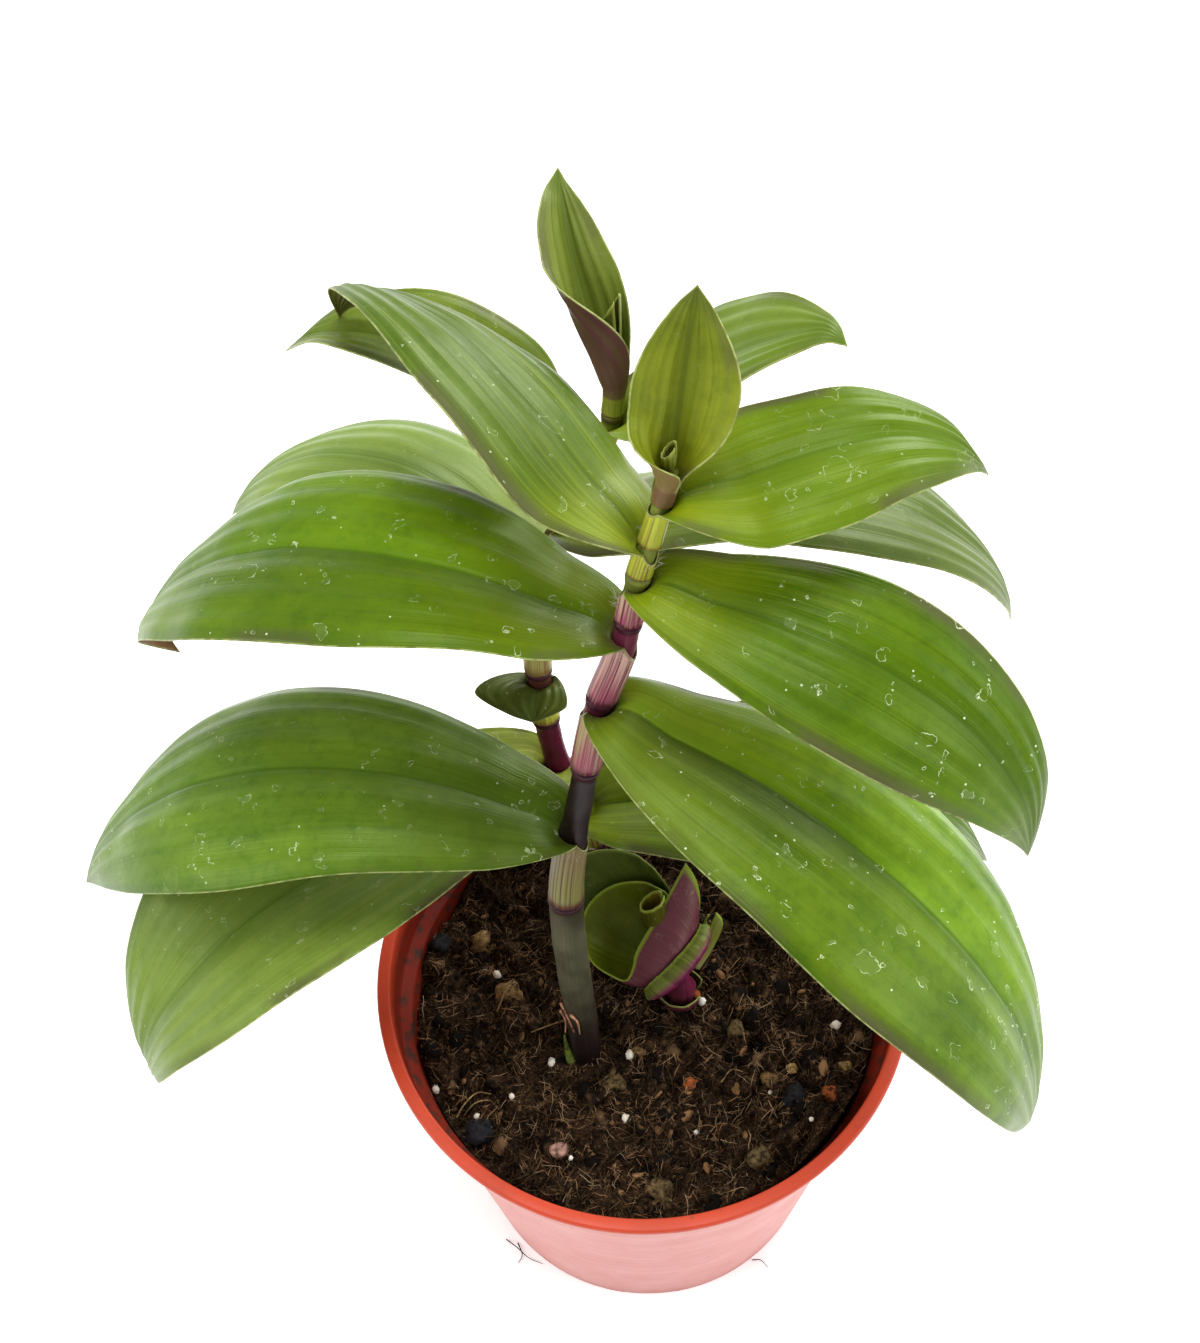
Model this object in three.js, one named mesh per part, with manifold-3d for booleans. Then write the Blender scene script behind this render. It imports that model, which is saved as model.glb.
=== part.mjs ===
// A potted tradescantia: two leafy stems and a young rolled shoot, standing in soil in a round nursery pot.
// Millimetres, +Z up. The origin is the middle of the pot's foot, and the plant is seen from -Y.

import * as THREE from "three";
import { mergeVertices } from "three/addons/utils/BufferGeometryUtils.js";
import Module from "manifold-3d";

const wasm = await Module();
wasm.setup();

const DEG = Math.PI / 180;
const UP = new THREE.Vector3(0, 0, 1);

// Pot
const POT_HEIGHT = 95;
const RIM_RADIUS = 60;
const LIP_WIDTH = 3;
const LIP_THICKNESS = 1.7;
const BAND_HEIGHT = 11;
const BODY_TOP_RADIUS = 54.8;
const FOOT_RADIUS = 44;
const WALL = 1.3;
const FLOOR_HEIGHT = 2.2;
const FOOT_RING_WIDTH = 3;
const CORNER = 2;
const WELL_RADIUS = 14;
const WELL_SLOPE = 2.5;
const DRAIN_COUNT = 8;
const DRAIN_RADIUS = 3.5;
const DRAIN_CIRCLE = 29;
const NOTCH_COUNT = 6;
const NOTCH_WIDTH = 13;
const NOTCH_HEIGHT = 1.2;
const POT_SIDES = 48;
const DRAIN_SIDES = 10;

// Soil
const SOIL_LEVEL = 79;
const SOIL_TILT = [3.6, -1.6];
const SOIL_SIDES = 36;
const SOIL_RINGS = 9;
const CRUMB_HEIGHT = 1.3;
const LUMP_COUNT = 26;
const LUMP_SEED = 7;
const LUMP_HEIGHT = [1.2, 3.6];
const LUMP_SPREAD = [3.5, 7.5];
const FIRMED_RADIUS = 6;

// Clearances, foliage thickness, and how deep the stems and their holes in the soil go
const GAP = 0.35;
const LEAF = 0.7;
const BURIED = 52;
const HOLE_LEVELS = [BURIED, 66, 72, 78, 84];

// Stems: the middle line as [x, y, z], and the stem's own radius as [z, radius], both from the soil upwards.
// nodes: the leaf joints where the stem swells to a ring under a leaf's sheath. The topmost joints have no ring,
// and are hidden in the sheaths below them.
// RING_SHAPE: how far below its node each of the ring's edges is, and how far it stands out.
const MAIN_STEM = {
  line: [
    [-13, -14, BURIED], [-13.3, -12.6, 80], [-15.1, -6.6, 139.6], [-10.3, -2.9, 176],
    [-6.8, -0.8, 197], [-2.2, 0.7, 212.5], [0.6, 2.3, 228.5], [3.6, 3.5, 240.5], [6.2, 4.4, 252],
  ],
  radius: [
    [BURIED, 3.1], [80, 3.5], [135, 3.6], [142, 3.0], [176, 2.4], [212, 2.2], [228, 1.7], [240, 1.4],
    [252, 1.2],
  ],
  nodes: [139.6, 181, 199.8, 219, 229.6],
};
const BACK_STEM = {
  line: [
    [-9.5, 29.5, BURIED], [-9.9, 29.8, 80], [-11.2, 31.7, 98.2], [-18.1, 34.7, 129], [-20.4, 37.7, 159],
    [-18.9, 39.6, 178], [-14.8, 41.3, 194.5], [-9.6, 42.8, 209.5], [-4, 43.9, 221], [-2.2, 44.8, 235],
  ],
  radius: [[BURIED, 2.9], [80, 3.1], [128, 2.7], [150, 2.5], [190, 2.1], [215, 1.8], [235, 1.3]],
  nodes: [98, 116, 142.5, 158, 187, 201, 214, 225],
};
const RING_SHAPE = [[2.3, 0], [1.1, 0.75], [0.1, 0.85], [-0.25, 0]];
const STEM_SIDES = 10;
const STEM_STEP = 9;

// Leaves. Each wraps its stem as a sheath from node to mouth, and its blade leaves the mouth to one side.
// heading and turn: the blade's compass direction, 0 along +X and 90 away from the viewer, and its change
// to the tip. rise and fall: the blade's slope at its base and at its tip. bend: how late the slope changes.
// hook: how much more its very tip turns down.
// left and right: half widths as seen along the blade from its base. belly: where it is widest.
// roll and twist: its lean to one side. fold: how far the halves stand up from the midrib. curl: how far
// they arch over. wave, waves and phase: the height, number and place of the ripples along its margins.
// claspLeft and claspRight: how far round the stem the two halves of the blade's foot reach. dip: how much lower
// the mouth is behind the stem. throat: how far the blade stays cupped, opening by flare and lift for each
// millimetre along it. A furled leaf's halves are rolled round the stem there instead.
const LARGE_LEAF = {
  columns: 7, baseWidth: 0.38, throat: 12, claspLeft: 115, claspRight: 115, flare: 0.5, lift: 0.7, dip: 3.5,
  wave: 0.7, waves: 3, hook: 0,
};
const TIP_LEAF = {
  furled: true, columns: 11, dip: 0.5, wave: 0.2, waves: 2, hook: 0,
};
const LEAVES = {
  main_leaf_low_left: {
    ...LARGE_LEAF, stem: MAIN_STEM, node: 139.6, mouth: 161,
    heading: 166, turn: 18, rise: 33, fall: -69, bend: 0.97, length: 126, left: 25, right: 24, belly: 0.5,
    roll: 3, twist: -1, fold: 14, curl: 40, phase: 0.4,
  },
  main_leaf_low_right: {
    ...LARGE_LEAF, stem: MAIN_STEM, node: 181, mouth: 197.5,
    heading: -25, turn: -21, rise: -8.5, fall: -101, bend: 2, length: 131, left: 23.6, right: 26,
    belly: 0.45, roll: -6.5, twist: -12, fold: 16, curl: 41, phase: 1.9,
  },
  main_leaf_middle_left: {
    ...LARGE_LEAF, stem: MAIN_STEM, node: 199.8, mouth: 215, claspLeft: 105, claspRight: 105, hook: 75,
    heading: 162.5, turn: 1.5, rise: 25, fall: -73, bend: 1.14, length: 119, left: 22.5, right: 22.5,
    belly: 0.45, roll: 8.5, twist: -8, fold: 17.5, curl: 32.5, phase: 3.1,
  },
  main_leaf_middle_right: {
    ...LARGE_LEAF, stem: MAIN_STEM, node: 219, mouth: 227.3,
    heading: -23, turn: -1, rise: 8.5, fall: -89.5, bend: 1.49, length: 93, left: 13.6, right: 16.9,
    belly: 0.44, roll: 13.5, twist: 17.5, fold: 12, curl: 23.5, phase: 5.2,
  },
  main_leaf_high_left: {
    ...LARGE_LEAF, stem: MAIN_STEM, node: 229.6, mouth: 235.5, dip: 2,
    heading: 134, turn: 0, rise: 31, fall: -72, bend: 2.22, length: 88, left: 17.6, right: 16, belly: 0.25,
    roll: 23.5, twist: 17.5, fold: 9, curl: 29, phase: 0.9,
  },
  main_leaf_high_right: {
    ...LARGE_LEAF, stem: MAIN_STEM, node: 236.3, mouth: 244.2, dip: 1,
    heading: 12, turn: -1, rise: 17, fall: -72, bend: 2.6, length: 59, left: 13.5, right: 14.5, belly: 0.28,
    roll: 3.5, twist: 11, fold: 12, curl: 28, phase: 2.4,
  },
  main_leaf_tip: {
    ...TIP_LEAF, stem: MAIN_STEM, node: 244.9, mouth: 249, baseWidth: 0.61, throat: 12.5, flare: 0.26,
    claspLeft: 241, claspRight: 104, heading: 70, turn: -1, rise: 73, fall: 62, bend: 1, length: 31, left: 8.5,
    right: 9.9, belly: 0.5, roll: 9.5, twist: 8.5, fold: 38, curl: 3, phase: 0,
  },
  back_leaf_low_right: {
    ...LARGE_LEAF, stem: BACK_STEM, node: 98, mouth: 110,
    heading: -11, turn: 13, rise: 36, fall: -72, bend: 1.42, length: 109, left: 22, right: 22, belly: 0.39,
    roll: 0, twist: 0, fold: 20, curl: 18, phase: 4.4,
  },
  back_leaf_low_left: {
    ...LARGE_LEAF, stem: BACK_STEM, node: 116, mouth: 127, hook: 35,
    heading: 215, turn: 2, rise: 16, fall: -96, bend: 2.59, length: 126, left: 26.5, right: 27, belly: 0.49,
    roll: 4, twist: 4, fold: 25, curl: 16, phase: 1.2,
  },
  back_leaf_stub: {
    ...LARGE_LEAF, stem: BACK_STEM, node: 142.5, mouth: 154.5, baseWidth: 0.8, throat: 4, dip: 1, wave: 0,
    heading: -97, turn: 1, rise: 25, fall: -30, bend: 0.8, length: 8, left: 7, right: 13.5, belly: 0.35,
    roll: -8, twist: 0, fold: 10, curl: 10, phase: 0,
  },
  back_leaf_middle_left: {
    ...LARGE_LEAF, stem: BACK_STEM, node: 158, mouth: 184,
    heading: 141, turn: 35, rise: 50, fall: -66, bend: 0.98, length: 87, left: 22, right: 21.5, belly: 0.36,
    roll: 6, twist: 3, fold: 2, curl: 34, phase: 3.7,
  },
  back_leaf_middle_right: {
    ...LARGE_LEAF, stem: BACK_STEM, node: 187, mouth: 198, baseWidth: 0.78,
    heading: -10, turn: -4, rise: 32, fall: -83, bend: 1.87, length: 102, left: 19, right: 19, belly: 0.41,
    roll: -18, twist: 1, fold: 15, curl: 32, phase: 0.2,
  },
  back_leaf_high_left: {
    ...LARGE_LEAF, stem: BACK_STEM, node: 201, mouth: 211, dip: 2.5,
    heading: 163, turn: 1, rise: 55, fall: -48, bend: 1.73, length: 66, left: 15, right: 15, belly: 0.39,
    roll: 10, twist: 1, fold: 28, curl: 8, phase: 2.9,
  },
  back_leaf_high_right: {
    ...LARGE_LEAF, stem: BACK_STEM, node: 214, mouth: 222, dip: 2, hook: 70,
    heading: -13, turn: -23, rise: 55, fall: 27, bend: 1.38, length: 56, left: 15, right: 15, belly: 0.43,
    roll: 1, twist: 4, fold: 18, curl: 20, phase: 5.6,
  },
  back_leaf_tip: {
    ...TIP_LEAF, stem: BACK_STEM, node: 225, mouth: 230, baseWidth: 0.65, throat: 25, flare: 0.21,
    claspLeft: 225, claspRight: 113, heading: 125, turn: -33, rise: 76.5, fall: 20, bend: 0.68, length: 40.5,
    left: 9.2, right: 7.1, belly: 0.46, roll: 9, twist: -4, fold: 52, curl: 9.5, phase: 0,
  },
};
const ROW_LENGTH = 9;
const LEAST_ROWS = 6;
const SHEATH_ROWS = 2;
const SHEATH_STEP = 22;
const SHEATH_FOOT = 0.6;
const MOUTH_FLARE = 0.1;
const MIDRIB_STEPS = 240;
const ROW_SPREAD = 1.15;
const FOLD_EASE = 0.35;
const FLAT_TIP = 0.8;
const HOOK_START = 0.88;
const LEAST_CURL = 0.02;
const WAVE_OFFSET = 1.3;
const FOOT_CURVE = 0.9;
const SHOULDER_CURVE = 1.9;
const POINT_CURVE = 1.12;

// Young shoot at the front right: a short stem and leaves still rolled round each other like paper cones.
const SHOOT_STEM = {
  line: [[8.5, 0, BURIED], [8.7, 0.6, 80], [9, 1.6, 85], [8, 3.2, 88.5], [6.6, 4.2, 90.3]],
  radius: [[BURIED, 2.6], [80, 3.3], [83.6, 3.4], [84.8, 2.2], [86.5, 1.9], [90.3, 1.8]],
  nodes: [],
};
const ROLL_START = new THREE.Vector3(0.02, 0.01, 1);
const ROLL_BASE = [8.2, 3, 88.2];
const ROLL_AXIS = [-0.62, 0.37, 0.69];
// start and sweep: where its edge begins round the axis, from the top, and how far it goes round.
// bulge: how far its wall swells. lap: how much more, up to lapEnd of the way, where one margin lies on the
// other.
const SHOOT_INNER = {
  base: ROLL_BASE, axis: ROLL_AXIS, baseRadius: 2.75, start: 55, sweep: -356,
  bulge: 1.8, lap: 3, lapEnd: 0.45,
  rim: [
    [10.3, 18.6, 109], [6, 13, 104], [2.4, 8.3, 100], [-1.4, 3.2, 96], [-2.2, 0.4, 94.2], [-3.8, -1.7, 92.4],
    [-8.6, 0.8, 90.8], [-12.5, 5.2, 90.6], [-13.8, 10.5, 92.2], [-13.2, 14.4, 94.2], [-10.6, 17.2, 96.9],
    [-5.2, 18.6, 100.4], [0.4, 17.6, 102.6], [5.4, 14.6, 103.4],
  ],
};
// Small rolled leaves: how far the edge is from the base, its radius there, and its slant.
const SMALL_ROLLS = {
  shoot_leaf_core: {
    base: [4.6, 5.6, 92], axis: [-0.36, 0.56, 0.74], baseRadius: 1.1, start: 60, sweep: -320, bulge: 0.2,
    reach: 9.5, mouth: 1.9, slant: 1.6,
  },
  shoot_leaf_side: {
    base: [11.9, 3.4, 87.6], axis: [0.42, 0.76, 0.49], baseRadius: 0.9, start: 0, sweep: 300, bulge: 0.4,
    reach: 11.5, mouth: 1.9, slant: 2.2,
  },
  shoot_bract: {
    base: [8.7, 0.5, 79.95], axis: [0, 0.05, 1], baseRadius: 4.1, start: 30, sweep: -310, bulge: 0.3,
    reach: 3.2, mouth: 5.3, slant: 1,
  },
  main_leaf_roll: {
    base: [6, 4.5, 252.5], axis: [-0.05, 0.1, 0.99], baseRadius: 0.7, start: 60, sweep: 310, bulge: 0.1,
    reach: 3.6, mouth: 1.2, slant: 1.2,
  },
  back_leaf_roll: {
    base: [-2.2, 45, 235.5], axis: [-0.06, 0.3, 0.95], baseRadius: 0.75, start: 60, sweep: 310, bulge: 0.1,
    reach: 11.3, mouth: 1.7, slant: 2.5,
  },
};
const SMALL_ROLL_GRID = [3, 9];
// Leaves that lie round the inner one. reach: for shares of the way along the inner leaf's edge, how far out
// along the inner leaf they end. spacing: how far they stand off it.
const SHOOT_WRAPS = {
  shoot_leaf_back: {
    baseRadius: 3.95, start: 70, sweep: 124, bulge: 1.8, spacing: 1.6,
    reach: [[0.97, 1.18], [0.92, 1.3], [0.85, 1.36], [0.77, 1.42], [0.69, 1.36], [0.62, 1.12]],
  },
  shoot_leaf_under: {
    baseRadius: 3.95, start: -80, sweep: 128, bulge: 1.8, lap: 3.6, lapEnd: 1.3, spacing: 1.8,
    reach: [[0.38, 0.6], [0.31, 0.75], [0.23, 0.8], [0.15, 0.8], [0.08, 0.8], [0.02, 0.8]],
  },
};
const ROLL_GRID = [5, 18];
const WRAP_GRID = [5, 10];
const SMALL_ROLL_CORNERS = 8;
const LAP_EASE = 0.25;

// Colours
const POT_RED = 0xcb4a2e;
const SOIL_BROWN = 0x2c1d12;
const STEM_PURPLE = 0x4a2138;
const BACK_PURPLE = 0x571a3c;
const SHOOT_PURPLE = 0x7a2450;
const LEAF_GREEN = 0x4f8a1e;
const YOUNG_GREEN = 0x6f8f2c;
const ROLLED_GREEN = 0x4c5a14;

function finish(color, roughness) {
  return new THREE.MeshStandardMaterial({ color, roughness, metalness: 0 });
}

function vector(triple) {
  return new THREE.Vector3(...triple);
}

// Repeatable random numbers from 0 to 1.
function seeded(seed) {
  let state = seed;
  return () => {
    state = (state * 16807) % 2147483647;
    return state / 2147483647;
  };
}

// A list of [key, value] pairs read as straight stretches between its keys.
function between(pairs, key) {
  let i = 1;
  while (i < pairs.length - 1 && pairs[i][0] < key) {
    i += 1;
  }
  const [k0, v0] = pairs[i - 1];
  const [k1, v1] = pairs[i];
  const t = THREE.MathUtils.clamp((key - k0) / (k1 - k0), 0, 1);
  return v0 + (v1 - v0) * t;
}

// The point of a stem's middle line at a height, on a smooth curve through the listed points.
function stemPoint(stem, z) {
  const line = stem.line;
  let i = 1;
  while (i < line.length - 1 && line[i][2] < z) {
    i += 1;
  }
  const [a, b] = [line[i - 1], line[i]];
  const before = line[Math.max(i - 2, 0)];
  const after = line[Math.min(i + 1, line.length - 1)];
  const span = b[2] - a[2];
  const t = (z - a[2]) / span;
  const at = (axis) => {
    const slopeA = (b[axis] - before[axis]) / (b[2] - before[2]);
    const slopeB = (after[axis] - a[axis]) / (after[2] - a[2]);
    const inner = (1 + 2 * t) * (1 - t) ** 2 * a[axis] + t * (1 - t) ** 2 * span * slopeA;
    return inner + t * t * (3 - 2 * t) * b[axis] + t * t * (t - 1) * span * slopeB;
  };
  return new THREE.Vector3(at(0), at(1), z);
}

function stemDirection(stem, z) {
  const low = stemPoint(stem, z - 0.5);
  return stemPoint(stem, z + 0.5).sub(low).normalize();
}

// Two directions square to an axis, the first as near as can be to a wanted one.
function squareTo(axis, wanted) {
  const first = wanted.clone().addScaledVector(axis, -wanted.dot(axis)).normalize();
  const second = new THREE.Vector3().crossVectors(axis, first);
  return [first, second];
}

function meshGeometry(points, triangles) {
  const geometry = new THREE.BufferGeometry();
  const numbers = points.flatMap((p) => [p.x, p.y, p.z]);
  geometry.setAttribute("position", new THREE.Float32BufferAttribute(numbers, 3));
  geometry.setIndex(triangles.flat());
  geometry.computeVertexNormals();
  return geometry;
}

// A thin closed solid from a sheet of points and its three- or four-cornered faces, half the thickness
// to each side. Both sides are split along the same diagonals, and every open edge gets a narrow wall.
function thicken(points, sheet, thickness) {
  const normals = points.map(() => new THREE.Vector3());
  const split = ([a, b, c, d]) => (d === undefined ? [[a, b, c]] : [[a, b, c], [a, c, d]]);
  const triangles = sheet.flatMap(split);
  const edges = new Map();
  for (const [a, b, c] of triangles) {
    const ab = points[b].clone().sub(points[a]);
    const ac = points[c].clone().sub(points[a]);
    const normal = ab.cross(ac);
    for (const corner of [a, b, c]) {
      normals[corner].add(normal);
    }
    for (const [from, to] of [[a, b], [b, c], [c, a]]) {
      if (edges.has(`${to},${from}`)) {
        edges.delete(`${to},${from}`);
      } else {
        edges.set(`${from},${to}`, [from, to]);
      }
    }
  }
  const units = normals.map((normal) => normal.clone().normalize());
  const offset = (side) => points.map((p, i) => p.clone().addScaledVector(units[i], side));
  const all = [...offset(thickness / 2), ...offset(-thickness / 2)];
  const n = points.length;
  const faces = [
    ...triangles,
    ...triangles.map(([a, b, c]) => [n + a, n + c, n + b]),
    ...[...edges.values()].flatMap(([a, b]) => [[b, a, n + a], [b, n + a, n + b]]),
  ];
  return meshGeometry(all, faces);
}

// A solid of round sections along a stem, closed at both ends.
function loft(sections, sides) {
  const points = [];
  const faces = [];
  for (const { centre, axis, radius } of sections) {
    const [first, second] = squareTo(axis, new THREE.Vector3(1, 0, 0));
    for (let k = 0; k < sides; k += 1) {
      const angle = (2 * Math.PI * k) / sides;
      const arm = first.clone().multiplyScalar(Math.cos(angle)).addScaledVector(second, Math.sin(angle));
      points.push(centre.clone().addScaledVector(arm, radius));
    }
  }
  for (let i = 0; i + 1 < sections.length; i += 1) {
    for (let k = 0; k < sides; k += 1) {
      const next = (k + 1) % sides;
      const [a, b, c, d] = [i * sides + k, i * sides + next, (i + 1) * sides + next, (i + 1) * sides + k];
      faces.push([a, b, c], [a, c, d]);
    }
  }
  const last = (sections.length - 1) * sides;
  for (let k = 1; k + 1 < sides; k += 1) {
    faces.push([0, k + 1, k], [last, last + k, last + k + 1]);
  }
  return meshGeometry(points, faces);
}

function toManifold(geometry) {
  const bare = geometry.clone();
  bare.deleteAttribute("normal");
  bare.deleteAttribute("uv");
  const merged = mergeVertices(bare, 1e-4);
  const vertProperties = new Float32Array(merged.attributes.position.array);
  const triVerts = new Uint32Array(merged.index.array);
  return new wasm.Manifold(new wasm.Mesh({ numProp: 3, vertProperties, triVerts }));
}

function fromManifold(solid) {
  const mesh = solid.getMesh();
  const geometry = new THREE.BufferGeometry();
  geometry.setAttribute("position", new THREE.BufferAttribute(new Float32Array(mesh.vertProperties), 3));
  geometry.setIndex(Array.from(mesh.triVerts));
  geometry.computeVertexNormals();
  return geometry;
}

// The pot's straight wall ends below the band, steps out to it and goes on up to the lip.
const LIP_BOTTOM = POT_HEIGHT - LIP_THICKNESS;
const WALL_TOP = LIP_BOTTOM - BAND_HEIGHT - 1.5;
const BAND_FOOT = WALL_TOP + 2.5;
const BAND_RADIUS = RIM_RADIUS - LIP_WIDTH + WALL;
const BAND_FOOT_RADIUS = BAND_RADIUS - 0.8;
const OUTER_WALL = [
  [0, FOOT_RADIUS], [WALL_TOP, BODY_TOP_RADIUS], [BAND_FOOT, BAND_FOOT_RADIUS], [POT_HEIGHT, BAND_RADIUS],
];

function potInnerRadius(z) {
  return between(OUTER_WALL, z) - WALL;
}

// The floor's middle is a shallow well that stands on the surface, so that water runs to the drain holes.
function pot() {
  const lipInner = RIM_RADIUS - LIP_WIDTH;
  const floorTop = FLOOR_HEIGHT + WALL;
  const bevel = 0.4;
  const profile = [
    [0, 0],
    [WELL_RADIUS, 0],
    [WELL_RADIUS + WELL_SLOPE, FLOOR_HEIGHT],
    [FOOT_RADIUS - FOOT_RING_WIDTH - 1, FLOOR_HEIGHT],
    [FOOT_RADIUS - FOOT_RING_WIDTH, 0],
    [FOOT_RADIUS, 0],
    [BODY_TOP_RADIUS, WALL_TOP],
    [BAND_FOOT_RADIUS, BAND_FOOT],
    [BAND_RADIUS, LIP_BOTTOM],
    [RIM_RADIUS - bevel, LIP_BOTTOM],
    [RIM_RADIUS, LIP_BOTTOM + bevel],
    [RIM_RADIUS, POT_HEIGHT - bevel],
    [RIM_RADIUS - bevel, POT_HEIGHT],
    [lipInner + bevel, POT_HEIGHT],
    [lipInner, POT_HEIGHT - bevel],
    [BAND_FOOT_RADIUS - WALL, BAND_FOOT],
    [BODY_TOP_RADIUS - WALL, WALL_TOP],
    [potInnerRadius(floorTop + CORNER), floorTop + CORNER],
    [potInnerRadius(floorTop) - CORNER, floorTop],
    [WELL_RADIUS + WELL_SLOPE - 0.5, floorTop],
    [WELL_RADIUS - 0.5, WALL],
    [0, WALL],
  ];
  const shell = new THREE.LatheGeometry(profile.map(([r, y]) => new THREE.Vector2(r, y)), POT_SIDES);
  shell.rotateX(Math.PI / 2);
  let solid = toManifold(shell);
  for (let i = 0; i < DRAIN_COUNT; i += 1) {
    const angle = (2 * Math.PI * i) / DRAIN_COUNT;
    const drill = new THREE.CylinderGeometry(DRAIN_RADIUS, DRAIN_RADIUS, 4 * WALL, DRAIN_SIDES);
    drill.rotateX(Math.PI / 2);
    drill.translate(DRAIN_CIRCLE * Math.cos(angle), DRAIN_CIRCLE * Math.sin(angle), FLOOR_HEIGHT + WALL / 2);
    solid = solid.subtract(toManifold(drill));
  }
  for (let i = 0; i < NOTCH_COUNT; i += 1) {
    const notch = new THREE.BoxGeometry(FOOT_RING_WIDTH * 4, NOTCH_WIDTH, 2 * NOTCH_HEIGHT);
    notch.translate(FOOT_RADIUS, 0, 0);
    notch.rotateZ((2 * Math.PI * (i + 0.5)) / NOTCH_COUNT);
    solid = solid.subtract(toManifold(notch));
  }
  return fromManifold(solid);
}

const random = seeded(LUMP_SEED);
const LUMPS = Array.from({ length: LUMP_COUNT }, () => {
  const reach = BODY_TOP_RADIUS * Math.sqrt(random());
  const angle = 2 * Math.PI * random();
  const height = LUMP_HEIGHT[0] + (LUMP_HEIGHT[1] - LUMP_HEIGHT[0]) * random();
  const spread = LUMP_SPREAD[0] + (LUMP_SPREAD[1] - LUMP_SPREAD[0]) * random();
  return { x: reach * Math.cos(angle), y: reach * Math.sin(angle), height, spread };
});

// The soil's surface: higher at the right and front, lumpy and crumbly, and firm and level round the stems.
function soilHeight(x, y) {
  let rise = (SOIL_TILT[0] * x + SOIL_TILT[1] * y) / RIM_RADIUS;
  for (const lump of LUMPS) {
    rise += lump.height * Math.exp(-((x - lump.x) ** 2 + (y - lump.y) ** 2) / lump.spread ** 2);
  }
  rise += CRUMB_HEIGHT * Math.sin(0.61 * x + 1.3) * Math.cos(0.53 * y);
  rise += 0.5 * CRUMB_HEIGHT * Math.sin(1.7 * x - 1.1 * y);
  for (const stem of [MAIN_STEM, BACK_STEM, SHOOT_STEM]) {
    const foot = stemPoint(stem, SOIL_LEVEL);
    rise *= 1 - Math.exp(-(((x - foot.x) ** 2 + (y - foot.y) ** 2) / FIRMED_RADIUS ** 2));
  }
  return SOIL_LEVEL + rise;
}

// The soil fills the pot from its floor up, just clear of the wall. Its sides have only a few rings.
function soil() {
  const points = [];
  const faces = [];
  const bottom = FLOOR_HEIGHT + WALL + GAP;
  const radiusAt = (z) => potInnerRadius(Math.min(z, WALL_TOP)) - GAP;
  const buriedRings = (rim) => [
    ...[0.62, 0.3].map((share) => bottom + (rim - bottom) * share).map((z) => [radiusAt(z), z]),
    [radiusAt(bottom) - CORNER - 1, bottom],
    [WELL_RADIUS + WELL_SLOPE - 1.1, bottom],
    [WELL_RADIUS - 1.2, WALL + GAP],
  ];
  const rings = SOIL_RINGS + buriedRings(SOIL_LEVEL).length;
  points.push(new THREE.Vector3(0, 0, soilHeight(0, 0)));
  for (let i = 1; i <= rings; i += 1) {
    for (let k = 0; k < SOIL_SIDES; k += 1) {
      const angle = (2 * Math.PI * k) / SOIL_SIDES;
      const edge = radiusAt(SOIL_LEVEL);
      const rim = soilHeight(edge * Math.cos(angle), edge * Math.sin(angle));
      let [r, z] = [(radiusAt(rim) * i) / SOIL_RINGS, rim];
      if (i > SOIL_RINGS) {
        [r, z] = buriedRings(rim)[i - SOIL_RINGS - 1];
      } else if (i < SOIL_RINGS) {
        z = soilHeight(r * Math.cos(angle), r * Math.sin(angle));
      }
      points.push(new THREE.Vector3(r * Math.cos(angle), r * Math.sin(angle), z));
    }
  }
  const corner = (i, k) => (i === 0 ? 0 : 1 + (i - 1) * SOIL_SIDES + (k % SOIL_SIDES));
  for (let k = 0; k < SOIL_SIDES; k += 1) {
    faces.push([0, corner(1, k), corner(1, k + 1)]);
    for (let i = 1; i < rings; i += 1) {
      faces.push([corner(i, k), corner(i + 1, k), corner(i + 1, k + 1)]);
      faces.push([corner(i, k), corner(i + 1, k + 1), corner(i, k + 1)]);
    }
  }
  const bottomMiddle = points.length;
  points.push(new THREE.Vector3(0, 0, WALL + GAP));
  for (let k = 0; k < SOIL_SIDES; k += 1) {
    faces.push([bottomMiddle, corner(rings, k + 1), corner(rings, k)]);
  }
  let solid = toManifold(meshGeometry(points, faces));
  for (const stem of [MAIN_STEM, BACK_STEM, SHOOT_STEM]) {
    const sections = HOLE_LEVELS.map((z) => ({
      centre: stemPoint(stem, z),
      axis: UP,
      radius: between(stem.radius, SOIL_LEVEL) + GAP,
    }));
    sections[0].centre.z -= GAP;
    solid = solid.subtract(toManifold(loft(sections, STEM_SIDES)));
  }
  return fromManifold(solid);
}

// A stem: its own radius, swelling to a ring just below each node.
function stemSolid(stem) {
  const top = stem.line[stem.line.length - 1][2];
  const stations = new Map();
  for (let z = BURIED; z < top; z += STEM_STEP) {
    stations.set(z, 0);
  }
  stations.set(top, 0);
  for (const node of stem.nodes) {
    for (const z of [...stations.keys()]) {
      if (Math.abs(z - node) < STEM_STEP / 2) {
        stations.delete(z);
      }
    }
  }
  for (const node of stem.nodes) {
    for (const [below, rise] of RING_SHAPE) {
      stations.set(node - below, rise);
    }
  }
  const heights = [...stations.keys()].sort((a, b) => a - b);
  const sections = heights.map((z) => ({
    centre: stemPoint(stem, z),
    axis: stemDirection(stem, Math.min(z, top - 0.5)),
    radius: between(stem.radius, z) + stations.get(z),
  }));
  return loft(sections, STEM_SIDES);
}

// Half width along a blade, as a share of its widest.
function bladeProfile(leaf, u) {
  if (u < leaf.belly) {
    return leaf.baseWidth + (1 - leaf.baseWidth) * Math.sin((Math.PI / 2) * (u / leaf.belly)) ** FOOT_CURVE;
  }
  const t = (u - leaf.belly) / (1 - leaf.belly);
  return (1 - t ** SHOULDER_CURVE) ** POINT_CURVE;
}

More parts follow.
